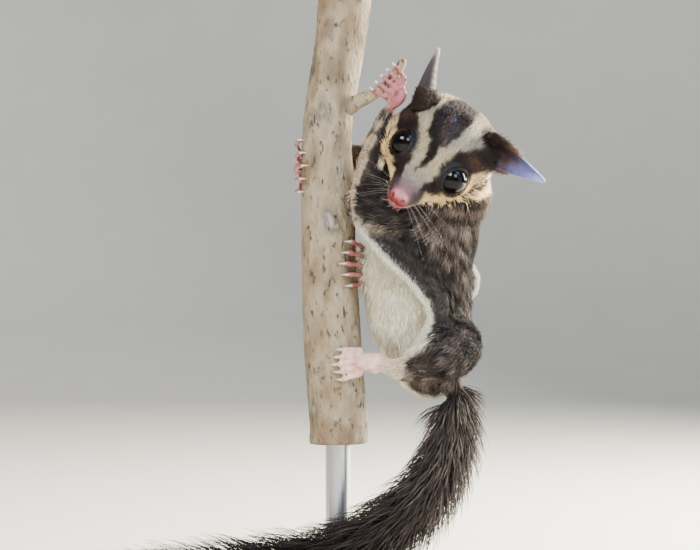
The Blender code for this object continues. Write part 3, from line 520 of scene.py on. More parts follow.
def read_form(points):
    """The part of the body at each point, and the way its hair lies."""
    region = find_regions(points)
    lie = np.zeros_like(points)
    for spot, way, radius in zip(LINE_POINTS, LINE_WAYS, LINE_RADII):
        away = np.maximum(np.linalg.norm(points - spot, axis=1) - radius, 0.0) + 0.0015
        lie += way * (1 / away**3)[:, None]
    lie = unit(lie)
    for name, edge in MEMBRANE_EDGES.items():
        edge, root = flow(at_chest(edge), 60), flow(at_chest(MEMBRANE_ROOTS[name]), 60)
        index, _ = nearest_rows(points, (edge + root) / 2)
        out = unit((edge - root)[index])
        down = unit(np.gradient(edge, axis=0)[index])
        here = is_part(region, name)
        lie[here] = unit(out * 0.75 + down * 0.65)[here]
    index, _ = nearest_rows(points, TAIL_ROWS)
    here = region == TAIL_REGION
    lie[here] = unit(np.gradient(TAIL_ROWS[:, :3], axis=0))[index[here]]
    nose = np.array(HEAD_TO_ROW @ Vector((0.0, 0.015, -0.006)))
    back = unit(points - nose) * 0.8 + np.array(HEAD_TO_ROW.to_3x3() @ Vector((0.0, -0.5, -0.05)))
    in_head = moved(points, ROW_TO_HEAD)
    share = np.where(region == HEAD, ramp(in_head[:, 1], -0.03, -0.018), 0.0)[:, None]
    lie = unit(lie * (1 - share) + unit(back) * share)
    for spot in EYE_SPOTS:
        gap = np.linalg.norm(points - spot, axis=1)
        part = (1 - ramp(gap, EYE_RADIUS + 0.0006, EYE_RADIUS + 0.0042))[:, None]
        lie = unit(lie * (1 - part * 0.85) + unit(points - spot) * part * 1.1)
    return region, lie


def edges_of(mesh):
    pairs = np.empty(len(mesh.edges) * 2, dtype=np.int32)
    mesh.edges.foreach_get("vertices", pairs)
    return pairs.reshape(-1, 2)


def relax(values, pairs, weight, rounds):
    """Moves each vertex's values towards the mean of its neighbours', as far as its weight allows."""
    count = np.bincount(pairs.ravel(), minlength=len(values))[:, None]
    for _ in range(rounds):
        mean = np.empty_like(values)
        for axis in range(values.shape[1]):
            column = values[:, axis]
            mean[:, axis] = np.bincount(pairs[:, 0], column[pairs[:, 1]], len(values))
            mean[:, axis] += np.bincount(pairs[:, 1], column[pairs[:, 0]], len(values))
        values = values + (mean / count - values) * weight
    return values


def read_mesh(mesh):
    """Its vertices' places and normals, as arrays."""
    points, normals = np.empty(len(mesh.vertices) * 3), np.empty(len(mesh.vertices) * 3)
    mesh.vertices.foreach_get("co", points)
    mesh.vertices.foreach_get("normal", normals)
    return points.reshape(-1, 3), normals.reshape(-1, 3)


print("form can be read at", len(known), "known points")

# %% [markdown]
# Smoothing must not eat the nose, the lids, the lips and the fingers, so it is weighted: strong on the
# body, faint on the face and the hands. The depth to sink the skin by is smoothed over the surface
# too, so that it changes gently from bare nose to deep coat.

# %% Smooth the skin, sink it below the coat and thin its mesh
COAT_DEPTH = {"head": 0.0008, "neck": 0.0016, "torso": 0.0018, "tail": 0.0}
LIMB_DEPTH, MEMBRANE_DEPTH = 0.0013, 0.00055
SKIN_TRIANGLES = 185000


def nose_dents(points):
    """How deep the nostrils and the groove between them are sunk at each point, in metres."""
    left, forward, up = (moved(points, ROW_TO_HEAD) / MM).T
    pit = np.hypot(np.hypot(np.abs(left) - 1.95, 0.7 * (up + 6.5)), 0.5 * (forward - 15.6))
    groove = np.exp(-((left / 0.34) ** 2)) * ramp(forward, 13.6, 14.8) * ramp(up, -12.0, -9.0)
    brow = np.exp(-((np.abs(left) - 1.5) ** 2)) * ramp(forward, 13.0, 14.6) * ramp(up, -7.6, -5.0)
    return (0.75 * np.exp(-((pit / 0.55) ** 2)) + 0.3 * groove - 0.12 * brow) * MM


def place_points(mesh, points):
    mesh.vertices.foreach_set("co", points.ravel())
    mesh.update()


def shape_skin():
    """Smooths the skin and sinks it by the coat's depth."""
    mesh = skin.data
    points, normals = read_mesh(mesh)
    pairs = edges_of(mesh)
    region = find_regions(points)
    in_head = moved(points, ROW_TO_HEAD)
    round_eyes = 1 - ramp(eyes_away(points), 0.0054, 0.007)
    face = np.maximum(ramp(in_head[:, 1], 0.006, 0.011), round_eyes)
    face = np.where(region == HEAD, face, 0.0)
    small = np.where(np.isin(region, HANDS), 1.0, 0.0)
    thin = np.where(np.isin(region, MEMBRANES), 1.0, 0.0)
    fine = relax(np.maximum(face, small)[:, None], pairs, 0.6, 12)
    thin = relax(thin[:, None], pairs, 0.6, 10)
    jaw = np.where(region == HEAD, ramp(in_head[:, 1], -0.02, -0.012), 0.0)
    jaw = relax(jaw[:, None], pairs, 0.6, 6)
    weight = (1 - fine) * (1 - 0.7 * thin) * (1 - 0.75 * jaw) * 0.62
    points = relax(points, pairs, weight, 90)
    points = relax(points, pairs, 0.5 * np.ones_like(fine), 3)
    points = points - normals * nose_dents(points)[:, None] * face[:, None]
    place_points(mesh, points)
    points, normals = read_mesh(mesh)
    depth = np.full(len(points), LIMB_DEPTH)
    for name, value in COAT_DEPTH.items():
        depth[is_part(region, name)] = value
    depth[np.isin(region, MEMBRANES)] = MEMBRANE_DEPTH
    depth[region == HEAD] *= (1 - np.clip(face, 0, 1))[region == HEAD]
    depth[np.isin(region, HANDS)] = 0.0
    depth = relax(depth[:, None], pairs, 0.6, 40) * (1 - fine) + OVERLAP
    points = points - normals * depth
    place_points(mesh, relax(points, pairs, weight, 10))


shape_skin()
thinner = skin.modifiers.new("fewer_faces", "DECIMATE")
thinner.ratio = min(1.0, SKIN_TRIANGLES / (2 * len(skin.data.polygons)))
settle(skin)
skin.data.shade_smooth()
skin_points, skin_normals = read_mesh(skin.data)
skin_region, skin_lie = read_form(skin_points)
skin_lie = along_skin(relax(skin_lie, edges_of(skin.data), 0.6, 25), skin_normals)
print("skin settled:", len(skin.data.polygons), "triangles")

# %% [markdown]
# ## Markings
# The same few functions colour the skin and every tuft, so the coat and what shows between its hairs
# always agree. The face is marked in its own flat plane, as a painter would: across to the animal's
# left, and up. Each marking is a brush stroke with a soft edge, and a fine ripple frays the edges as
# hairs do. Colours come from looking at the animal: grey-cream stripes, dark masks round the eyes, a
# dark wedge between them, cream cheeks, a lilac muzzle and a pink nose.


# %% Brush strokes and ripples
def ripple(points, size, seed, waves=7):
    """A soft bumpy field between about -1 and 1, with bumps this many metres wide."""
    maker = np.random.default_rng(seed)
    ways = unit(maker.normal(size=(waves, 3))) * (2 * math.pi / (size * maker.uniform(1.3, 3.0, (waves, 1))))
    shifts = maker.uniform(0, 2 * math.pi, waves)
    return np.sin(points @ ways.T + shifts).sum(axis=1) / math.sqrt(waves)


def stroke(x, y, path, soft=0.7):
    """How much of a brush stroke covers each point. The path holds x, y and half width in millimetres."""
    cover = np.zeros(len(x))
    for (xa, ya, wa), (xb, yb, wb) in zip(path, path[1:]):
        run = (xb - xa) ** 2 + (yb - ya) ** 2
        t = np.clip(((x - xa) * (xb - xa) + (y - ya) * (yb - ya)) / run, 0, 1)
        away = np.hypot(x - xa - t * (xb - xa), y - ya - t * (yb - ya))
        cover = np.maximum(cover, 1 - ramp(away - (wa + t * (wb - wa)), -soft, soft))
    return cover


def paint(colours, code, cover):
    """Lays one colour over the others, in their own array, where it covers them."""
    cover = cover[:, None] * 1.0
    colours[:] = colours * (1 - cover) + linear(code) * cover


print("brushes ready")

# %% The face
MASK = (
    (3.9, -10.8, 0.8), (5.4, -7.4, 2.0), (7.6, -3.6, 3.0), (10.0, 0.6, 4.7), (11.4, 4.6, 4.4), (12.8, 8.2, 3.0),
    (14.4, 11.0, 2.0), (15.2, 14.0, 1.6)
)
WEDGE = (
    (-0.6, -4.8, 0.3), (-0.3, -2.5, 1.0), (-0.2, 0.0, 1.4), (-0.4, 4.6, 2.0), (-0.8, 8.5, 4.1),
    (0.0, 13.0, 5.0), (0.4, 17.0, 5.2), (0.4, 20.0, 4.2)
)
CHEEK = (
    (5.0, -12.4, 1.2), (7.8, -10.0, 2.5), (12.0, -7.2, 3.4), (14.9, -2.8, 3.3), (16.2, 2.0, 2.7),
    (16.8, 6.0, 1.9)
)
CHEEK_FOLD = ((8.6, -11.4, 0.2), (12.4, -9.6, 0.35), (16.2, -5.6, 0.4), (18.4, 0.5, 0.3))
EAR_TUFT = ((14.4, 10.6, 1.6), (15.4, 14.0, 3.0), (15.6, 18.0, 4.2))
FLECK_LINE = ((15.4, 2.0, 0.35), (16.6, 7.0, 0.55), (15.6, 12.5, 0.8))
GLAND = ((0.6, 5.4, 0.8), (0.4, 8.0, 1.9), (0.4, 11.0, 2.8), (0.4, 15.0, 2.4))
GLAND_SKIN = ((0.7, 5.4, 0.2), (0.5, 7.6, 0.7), (0.3, 10.8, 1.4), (0.4, 14.0, 1.4), (0.6, 16.0, 0.5))
MOUTH = (
    (0.0, 15.4, -10.0), (2.2, 14.0, -10.4), (4.2, 11.0, -9.8), (6.2, 7.8, -9.4), (8.2, 4.6, -9.6),
    (9.8, 2.2, -10.4)
)


def face_plane(points):
    """Head coordinates in millimetres, and the two coordinates of the face's own plane."""
    left, forward, up = (moved(points, ROW_TO_HEAD) / MM).T
    return left, forward, up, -0.616 * forward + 0.788 * up


def midline(high):
    """Where the face's middle line runs in its own plane: it wanders to the animal's right."""
    return np.interp(high, (-3.0, 0.0, 5.0, 12.0, 18.0, 30.0), (0.0, -0.3, -1.1, -2.3, -2.5, 0.0))


def lips_away(left, forward, up):
    """How far each point is from the line between the lips, in millimetres."""
    return nearest_rows(np.stack((np.abs(left), forward, up), axis=1), flow(MOUTH, 30))[1]


def face_colours(points):
    """The head's colours, and how bare each point is."""
    left, forward, up, high = face_plane(points)
    fray = ripple(points, 0.0011, 3) * 0.35 + ripple(points, 0.0028, 4) * 0.3
    x, y = left - midline(high) + fray, high + ripple(points, 0.0013, 5) * 0.45
    side = np.abs(x)
    colours = np.tile(linear("#aa9e80"), (len(points), 1))
    paint(colours, "#86827a", ramp(left, 0.0, 3.0) * ramp(high, 2.0, 10.0) * 0.75)
    paint(colours, "#b5a58e", ramp(side, 7.0, 15.0) * ramp(high, 9.0, 17.0))
    paint(colours, "#6c6359", ramp(ripple(points, 0.0009, 6), 0.7, 1.9) * 0.55)
    behind = 1 - ramp(forward, -22.0, -14.0)
    paint(colours, "#6d6058", behind * 0.9)
    paint(colours, "#8a6f5e", ramp(high, 18.0, 22.0) * 0.8)
    nape = stroke(x, y, ((0.0, 21.0, 2.6), (0.0, 30.0, 3.2)), 1.2)
    paint(colours, "#2b201d", nape * 0.7)
    paint(colours, "#261712", stroke(x, y, WEDGE) * ramp(up, -8.0, -2.0))
    paint(colours, "#2b160d", stroke(side, y, MASK, 0.8))
    brown = stroke(side, y, ((11.6, 8.4, 1.3), (14.6, 7.2, 1.8)), 1.8)
    paint(colours, "#6a4a36", brown * 0.8)
    paint(colours, "#d6b987", stroke(side, y, CHEEK, 0.8))
    paint(colours, "#8c7056", stroke(side, y, CHEEK_FOLD, 0.5) * 0.75)
    paint(colours, "#231611", stroke(side, y, EAR_TUFT, 1.2))
    paint(colours, "#3a2a22", stroke(side, y, FLECK_LINE, 0.5) * 0.8)
    nicks = ramp(ripple(points, 0.0008, 17), 0.9, 1.6) * ramp(side, 5.0, 9.0)
    paint(colours, "#2a1d18", nicks * ramp(high, 6.0, 11.0) * 0.75)
    to_ear = np.sqrt((side - 13.8) ** 2 + (forward + 15.0) ** 2 + (up - 8.5) ** 2) + 1.6 * fray
    paint(colours, "#1f1411", (1 - ramp(to_ear, 4.0, 6.4)) * 0.95)
    chin = ramp(-up, 9.6, 11.4) * ramp(forward, -16.0, -6.0)
    paint(colours, "#ead9b6", chin)
    under = ramp(-up, 11.0, 13.5) * (1 - ramp(forward, -12.0, -4.0))
    paint(colours, "#84705f", under * 0.8)
    dusk = (1 - ramp(high, -8.5, -1.0)) * (1 - ramp(side, 3.0, 4.4))
    paint(colours, "#857a78", dusk * 0.75)
    muzzle = ramp(forward + 0.35 * (-up), 9.6, 13.6)
    paint(colours, "#775a62", muzzle * (1 - chin * 0.8) * 0.9)
    bridge = muzzle * (1 - ramp(side, 1.4, 3.2))
    paint(colours, "#937779", bridge * 0.6)
    shadow = muzzle * ramp(side, 2.4, 4.4) * ramp(up, -9.4, -7.4)
    paint(colours, "#46333a", shadow * 0.85)
    snout = ramp(forward - 0.12 * side, 13.0, 14.3) * ramp(up, -11.0, -10.0)
    paint(colours, "#a23d48", snout)
    # Painted highlight: the top of the nose is painted paler, where the light catches it.
    paint(colours, "#b27478", snout * ramp(up, -7.4, -5.0) * 0.8)
    paint(colours, "#931f31", snout * (1 - ramp(up, -9.4, -7.6)) * 0.8)
    lips = lips_away(left, forward, up)
    paint(colours, "#c98683", (1 - ramp(lips, 0.7, 1.5)) * ramp(forward, 9.0, 13.0) * 0.8)
    paint(colours, "#4a2724", (1 - ramp(lips, 0.25, 0.6)))
    # Painted shade: the nostril pits are painted dark, as their hollows are.
    nostril = np.hypot(np.abs(left) - 1.9, np.hypot(forward - 15.6, up + 6.5) * 0.7)
    paint(colours, "#5b2529", 1 - ramp(nostril, 0.35, 0.8))
    gland = stroke(x, y, GLAND_SKIN, 0.6) * ramp(up, 0.0, 3.0)
    paint(colours, "#2c1c1c", gland)
    wrinkle = 1 - ramp(np.abs(ripple(points, 0.0022, 9)), 0.1, 0.35)
    paint(colours, "#6a3c2b", gland * wrinkle * 0.85)
    bald = stroke(x, y, ((1.6, 5.4, 0.3), (2.2, 8.0, 0.6), (1.8, 10.4, 0.2)), 0.5)
    paint(colours, "#6f5c50", bald * 0.7 * ramp(up, 0.0, 3.0))
    # Painted highlight: bluish gleams on the damp gland, painted into its colour.
    gland_painted_highlight = np.maximum(
        stroke(x, y, ((0.6, 14.0, 0.3), (0.9, 15.6, 0.4)), 0.4),
        stroke(x, y, ((1.6, 4.6, 0.1), (1.5, 5.4, 0.1)), 0.4)
    )
    paint(colours, "#4f618a", gland_painted_highlight * 0.8 * ramp(up, 0.0, 3.0))
    lid = 1 - ramp(eyes_away(points) / MM, 5.1, 5.7)
    paint(colours, "#140d0c", lid)
    bare = np.maximum.reduce((snout, lid * 0.2, gland * 0.35, (1 - ramp(lips, 0.6, 1.2))))
    return colours, bare


print("face ready")

# %% [markdown]
# The body's grey coat has black flecks and pale tips, a dark line along the spine and a dark band
# beside each membrane. The belly is cream, and the membranes end in a pale fringe about 3 mm wide. The
# tail darkens from grey to nearly black.

# %% The body
FRINGE_WIDTH = 0.0028
# The line between the near arm's cream and its dark inner side: height and x from the chest
STRIP = np.array(((20, 0.4), (26, 1.2), (34, 2.8), (42.3, 6.4), (50, 9.6), (60, 13.5))) * MM
MEMBRANE_LINES = {name: flow(at_chest(rows), 90) for name, rows in MEMBRANE_EDGES.items()}
ROOT_LINES = {name: flow(at_chest(rows), 90) for name, rows in MEMBRANE_ROOTS.items()}


def belly_share(points):
    """1 on the belly's side of the membranes' roots, 0 on the back."""
    limits = []
    for line in ROOT_LINES.values():
        line = line[np.argsort(line[:, 2])]
        limits.append(np.interp(points[:, 2], line[:, 2], line[:, 0]))
    limit = np.where(points[:, 1] < 0, *limits)
    height = points[:, 2] - CHEST.z
    shoulder = ramp(height, 0.008, 0.014) * ramp(-points[:, 1], 0.003, 0.007)
    flank = ramp(np.abs(points[:, 1]), 0.0122, 0.0142) * ramp(height, -0.016, -0.009)
    limit = limit - 0.016 * shoulder - 0.005 * flank
    fray = ripple(points, 0.0022, 21) * 0.0005
    return 1 - ramp(points[:, 0] + fray - limit, -0.0012, 0.0006)


def body_colours(points, normals, region):
    """The colours of everything but the head, and how bare each point is."""
    x, y, z = (points - np.array(CHEST)).T
    colours = np.tile(linear("#675c52"), (len(points), 1))
    mottle = ripple(points, 0.0024, 11) + 0.8 * ripple(points, 0.0011, 12)
    paint(colours, "#8d8077", ramp(mottle, 0.2, 1.6) * 0.8)
    paint(colours, "#1a1412", ramp(-mottle, 0.2, 1.3) * 0.9)
    spine_y = np.interp(z, (0.0, 0.012, 0.03), (0.002, 0.000, -0.006))
    spine = (1 - ramp(np.abs(y - spine_y), 0.0022, 0.0046)) * ramp(normals[:, 0], 0.1, 0.4)
    paint(colours, "#1d1816", spine * ramp(z, -0.03, -0.01) * 0.9)
    warm = ramp(z, 0.012, 0.026) * ramp(x, 0.024, 0.042)
    paint(colours, "#8b7569", warm * 0.75)
    thigh = np.isin(region, LIMBS) & (z < 0)
    paint(colours, "#3d3536", thigh * 0.55)
    paint(colours, "#8d8278", thigh * ramp(ripple(points, 0.0011, 13), 0.3, 1.4) * 0.6)
    belly = belly_share(points)
    trunk = np.isin(region, (TORSO, NECK, *LIMBS))
    paint(colours, "#efe6cf", belly * trunk)
    shade = ramp(ripple(points, 0.006, 14), 0.3, 1.6) * belly * trunk
    paint(colours, "#d3c7a9", shade * 0.5)
    paint(colours, "#d6bda4", is_part(region, "forearm_left", "forearm_right") * 0.9)
    strip_x = np.interp(z, STRIP[:, 0], STRIP[:, 1])
    inward = x - strip_x + ripple(points, 0.002, 23) * 0.0003
    near_arm = is_part(region, "forearm_left", "membrane_left", "upper_arm_left", "neck")
    beyond = near_arm * ramp(inward, 0.0016, 0.0026) * ramp(-y, 0.001, 0.004)
    beyond = beyond * ramp(z, 0.014, 0.022) * ramp(-normals[:, 1], -0.1, 0.3)
    paint(colours, "#cdb9a4", is_part(region, "shank_left", "shank_right") * 0.6)
    for name, line in MEMBRANE_LINES.items():
        here = is_part(region, name)
        away = nearest_rows(points, line)[1]
        upper = ramp(normals[:, 0] - 0.4 * normals[:, 1], -0.15, 0.25)
        root_away = nearest_rows(points, ROOT_LINES[name])[1]
        rooted = (1 - ramp(root_away, 0.0016, 0.003)) * ramp(away, 0.003, 0.005) * (normals[:, 1] < 0.2)
        upper = np.maximum(upper, rooted * (belly < 0.5))
        upper = np.maximum(upper, ramp(away, 0.0095, 0.0115) * (belly < 0.5))
        paint(colours, "#e8dfc6", here * (1 - upper))
        paint(colours, "#2a2423", here * upper * 0.7)
        band = (trunk & (belly < 0.5)) * (1 - ramp(root_away, 0.003, 0.0075))
        paint(colours, "#231d1c", band * 0.75)
        fray = ripple(points, 0.0016, 22) * 0.0004
        fringe = here * (1 - ramp(away + fray, FRINGE_WIDTH - 0.0004, FRINGE_WIDTH + 0.0005))
        paint(colours, "#c8c5b4", fringe)
        paint(colours, "#c2ad91", here * ramp(z, 0.012, 0.02))
    paint(colours, "#2f2724", beyond * 0.9)
    paint(colours, "#77695f", beyond * ramp(mottle, 0.5, 1.6) * 0.6)
    # Painted shadow: a thin dark line along the near arm's cream strip, where the face shades it.
    painted_shadow_line = near_arm * np.exp(-(((inward - 0.0004) / 0.00035) ** 2)) * ramp(z, 0.024, 0.03)
    paint(colours, "#4a3c33", painted_shadow_line * (1 - beyond) * 0.6)
    # Painted shade: the far arm's top, in the dark hollow under the head, is painted nearly black.
    far_arm_painted_shade = is_part(region, "upper_arm_right") * ramp(z, 0.02, 0.026) * (normals[:, 1] < 0.3)
    paint(colours, "#231c1a", far_arm_painted_shade * 0.95)
    tail = region == TAIL_REGION
    along = nearest_rows(points, TAIL_ROWS)[0] / (len(TAIL_ROWS) - 1)
    paint(colours, "#5d534d", tail)
    paint(colours, "#2c2523", tail * ramp(along, 0.15, 0.6))
    paint(colours, "#100d0c", tail * ramp(along, 0.55, 0.9))
    flecks = ramp(ripple(points, 0.0035, 15), 0.6, 1.7) * (1 - ramp(along, 0.2, 0.6))
    paint(colours, "#857970", tail * flecks * 0.6)
    paws = np.isin(region, HANDS)
    paint(colours, "#ac6668", paws)
    paint(colours, "#8a3c44", paws * ramp(ripple(points, 0.0018, 16), 0.2, 1.5) * 0.7)
    paint(colours, "#dcbdae", is_part(region, "foot_left") * 0.7)
    return colours, paws * 1.0


LUMINANCE = np.array((0.2126, 0.7152, 0.0722))


def markings(points, normals, region):
    """The colour of the animal at each point, and how bare it is there."""
    head, bare_head = face_colours(points)
    body, bare_body = body_colours(points, normals, region)
    is_head = region == HEAD
    share = np.where(is_head, ramp(face_plane(points)[1], -25.0, -20.0), 0.0)[:, None]
    colours = body * (1 - share) + head * share
    bright = ramp(colours @ LUMINANCE, 0.015, 0.3)
    return colours * (0.34 + 0.7 * bright)[:, None], np.where(is_head, bare_head, bare_body)


skin_colours, skin_bare = markings(skin_points, skin_normals, skin_region)
smoothed = relax(np.hstack((skin_colours, skin_bare[:, None])), edges_of(skin.data), 0.5, 2)
skin_bare = smoothed[:, 3]
print("skin is bare over", round(float(skin_bare.mean()) * 100), "% of its points")

# %% [markdown]
# ## The skin's finish
# Under the coat the hide is only glimpsed, so it takes the coat's colours, darkened, with a fine grain
# where hairs leave it. On the nose, lids, palms and digits it is bare: pink skin, translucent enough
# for light to spread under it, a little moist on the nose, with creases a third of a millimetre apart.


# %% Paint the skin
def put_colours(mesh, name, colours):
    """Stores one colour for each vertex."""
    layer = mesh.color_attributes.new(name, "FLOAT_COLOR", "POINT")
    with_alpha = np.hstack((colours, np.ones((len(colours), 1))))
    layer.data.foreach_set("color", with_alpha.astype(np.float32).ravel())


def put_shares(mesh, name, shares):
    """Stores one share from 0 to 1 for each vertex."""
    put_colours(mesh, name, np.repeat(np.array(shares)[:, None], 3, axis=1))


put_colours(skin.data, "coat_colour", smoothed[:, :3] * (0.7 + 0.3 * skin_bare[:, None]))
put_shares(skin.data, "bare_skin", skin_bare)
wire(
    hide_shader,
    {"Subsurface Weight": 0.25, "Subsurface Radius": (0.0012, 0.0005, 0.0003), "Subsurface Scale": 1.0}
)
place = add_node(hide_tree, "TexCoord").outputs["Object"]
coat = add_node(hide_tree, "Attribute", attribute_name="coat_colour").outputs["Color"]
bare = add_node(hide_tree, "Attribute", attribute_name="bare_skin").outputs["Fac"]
creases = add_node(
    hide_tree, "TexVoronoi", {"Vector": place, "Scale": per_mm(0.34)}, feature="DISTANCE_TO_EDGE"
)
blotch = add_node(hide_tree, "TexNoise", {"Vector": place, "Scale": per_mm(1.6), "Detail": 3.0})
pores = add_node(hide_tree, "TexNoise", {"Vector": place, "Scale": per_mm(0.25), "Detail": 2.0})
flush = add_node(
    hide_tree, "MapRange", {"Value": blotch, "From Min": 0.35, "From Max": 0.7, "To Min": 0.82, "To Max": 1.12}
)
tinted = add_node(hide_tree, "VectorMath", {0: coat, 1: flush}, operation="MULTIPLY")
wire(hide_shader, {"Base Color": tinted})
gloss = add_node(hide_tree, "MapRange", {"Value": bare, "To Min": 0.75, "To Max": 0.32})
wire(hide_shader, {"Roughness": gloss})
fold = add_node(hide_tree, "MapRange", {"Value": creases, "From Max": 0.1})
relief = add_node(hide_tree, "Math", {0: fold, 1: pores}, operation="ADD")
bump = add_node(hide_tree, "Bump", {"Height": relief, "Strength": 0.3, "Distance": 0.00012})
wire(hide_shader, {"Normal": bump})
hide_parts(*BODY_NODES, *PALMS, *TAIL_NODES)
print("skin painted")

# %% [markdown]
# ## The coat
# Each tuft is a thin solid lock of hairs stuck together: a three-sided stem that rises from the skin,
# bends over to lie along it and ends in a point. Arrays make tens of thousands at once. They are
# sown evenly over the skin by area, denser and shorter on the face, longer on the body and longest on
# the tail. Each takes its root's colour, with paler or darker ends as the real hairs have.


# %% Sow roots and make tufts
def sow(per_square_mm, seed):
    """Roots spread over the skin at each vertex's density: places, normals, lies and parts of the body."""
    mesh = skin.data
    tris = np.empty(len(mesh.loop_triangles) * 3, dtype=np.int32)
    mesh.loop_triangles.foreach_get("vertices", tris)
    tris = tris.reshape(-1, 3)
    corner = skin_points[tris]
    area = np.linalg.norm(np.cross(corner[:, 1] - corner[:, 0], corner[:, 2] - corner[:, 0]), axis=1) / 2
    share = np.cumsum(area / MM**2 * per_square_mm[tris].mean(axis=1))
    count = int(share[-1])
    maker = np.random.default_rng(seed)
    picks = np.searchsorted(share, (np.arange(count) + maker.random(count)) / count * share[-1])
    picks = np.minimum(picks, len(tris) - 1)
    a, b = maker.random(count), maker.random(count)
    over = a + b > 1
    a[over], b[over] = 1 - a[over], 1 - b[over]
    weights = np.stack((1 - a - b, a, b), axis=1)[:, :, None]
    chosen = tris[picks]
    read = [(values[chosen] * weights).sum(axis=1) for values in (skin_points, skin_normals, skin_lie)]
    return read[0], unit(read[1]), unit(read[2]), skin_region[chosen[:, 0]]


def build_tufts(name, roots, normals, lies, length, rise, width, colours, tips, patches, levels, material):
    """Solid tufts as one mesh. Levels are the shares of the length where a tuft has a ring."""
    count, rings = len(roots), len(levels)
    sides = unit(np.cross(normals, lies))
    maker = np.random.default_rng(len(name) * 31 + count)
    curl = maker.normal(0, 0.1, count) * length
    points = np.empty((count, rings * 3 + 1, 3))
    shades = np.empty((count, rings * 3 + 1, 3))
    for k, u in enumerate([*levels, 1.0]):
        height = rise * (1 - (1 - u) ** 2) - (0.0003 if u == 0 else 0.0)
        centre = (
            roots + lies * (length * u)[:, None] + normals * height[:, None] + sides * (curl * u * u)[:, None]
        )
        shade = colours * (1 - u) + tips * u
        if k == rings:
            points[:, -1], shades[:, -1] = centre, shade
            continue
        half = (width * (0.55 + 0.45 * math.sin(math.pi * min(1.0, u + 0.25))) / 2)[:, None]
        points[:, k * 3] = centre + sides * half
        points[:, k * 3 + 1] = centre + normals * half * 0.9
        points[:, k * 3 + 2] = centre - sides * half
        shades[:, k * 3 : k * 3 + 3] = (shade * (0.7 if u == 0 else 1.0))[:, None, :]
    pairs = ((0, 1), (1, 2), (2, 0))
    tip, last = rings * 3, (rings - 1) * 3
    quads = [(k + a, k + b, k + 3 + b, k + 3 + a) for k in range(0, last, 3) for a, b in pairs]
    faces = [*quads, *((last + a, last + b, tip) for a, b in pairs), (2, 1, 0)]
    loops = np.array([corner for face in faces for corner in face])
    sizes = np.array([len(face) for face in faces])
    mesh = bpy.data.meshes.new(name)
    mesh.vertices.add(points.shape[0] * points.shape[1])
    mesh.vertices.foreach_set("co", points.astype(np.float32).ravel())
    steps = (np.arange(count) * points.shape[1])[:, None]
    mesh.loops.add(count * len(loops))
    mesh.loops.foreach_set("vertex_index", (steps + loops).ravel().astype(np.int32))
    mesh.polygons.add(count * len(faces))
    starts = np.concatenate(([0], np.cumsum(sizes)[:-1])) + (np.arange(count) * len(loops))[:, None]
    mesh.polygons.foreach_set("loop_start", starts.ravel().astype(np.int32))
    mesh.update(calc_edges=True)
    put_colours(mesh, "hair_colour", shades.reshape(-1, 3))
    spread = np.array([((v % 3) / 2, (v // 3) / rings) for v in range(points.shape[1])])[loops] * 0.003
    layer = mesh.uv_layers.new(name="OFBake")
    layer.data.foreach_set("uv", (patches[:, None, :] + spread).astype(np.float32).ravel())
    mesh.shade_smooth()
    mesh.materials.append(material)
    obj = bpy.data.objects.new(name, mesh)
    bpy.context.collection.objects.link(obj)
    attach(obj, "root")
    print(name, "has", count, "tufts,", count * (6 * (rings - 1) + 4), "triangles")
    return obj


def build_coat(groups, values, levels, material):
    """Builds a piece for each group of the tufts, chosen from the same lists of values."""
    for name, chosen in groups:
        picked = [value[chosen] for value in values]
        build_tufts(name, *picked, levels, material)


print("ready to sow")

# %% [markdown]
# The finish of hair: dull, with only a trace of sheen. The colour rides on each tuft, and a noise of
# about half a millimetre varies it from hair to hair.


# %% Hair
def hair_material(name, roughness):
    """Possum hair: dull fine keratin, whose colour comes with each tuft."""
    made, tree, shader = new_material(
        name, Roughness=roughness, Specular_IOR_Level=0.07, Sheen_Weight=0.03, Sheen_Roughness=0.5
    )
    place = add_node(tree, "TexCoord").outputs["Object"]
    hair = add_node(tree, "Attribute", attribute_name="hair_colour").outputs["Color"]
    streak = add_node(tree, "TexNoise", {"Vector": place, "Scale": per_mm(0.5), "Detail": 2.0})
    vary = add_node(
        tree, "MapRange", {"Value": streak, "From Min": 0.3, "From Max": 0.7, "To Min": 0.8, "To Max": 1.18}
    )
    tinted = add_node(tree, "VectorMath", {0: hair, 1: vary}, operation="MULTIPLY")
    wire(shader, {"Base Color": tinted})
    return made


face_hair = hair_material("short_face_hair", 0.62)
body_hair = hair_material("body_hair", 0.58)
tail_hair = hair_material("long_tail_hair", 0.52)


def varied(colours, spread, maker):
    """The colours, each made a little lighter or darker."""
    return np.clip(colours * maker.normal(1.0, spread, (len(colours), 1)), 0, 1)


def unwrap_round(points, centre, up, first, low, high):
    """An unwrap of the skin round an axis: the turn round it and the place along it, both from 0 to 1."""
    up, first = Vector(up).normalized(), Vector(first)
    second = up.cross(first)
    away = points - np.array(centre)
    turn = np.arctan2(away @ np.array(second), away @ np.array(first)) / (2 * math.pi) + 0.5
    return np.stack((turn, np.clip((away @ np.array(up) - low) / (high - low), 0, 1)), axis=1)


def tile(patches, column=0, columns=1, row=0, rows=1):
    """Fits an unwrap into its own tile of the map, clear of its neighbours."""
    return (np.array((column, row)) + 0.02 + patches * 0.95) / np.array((columns, rows))


SHORT_TUFT = (0.0, 0.42)
LONG_TUFT = (0.0, 0.22, 0.5, 0.78)
print("hair ready")

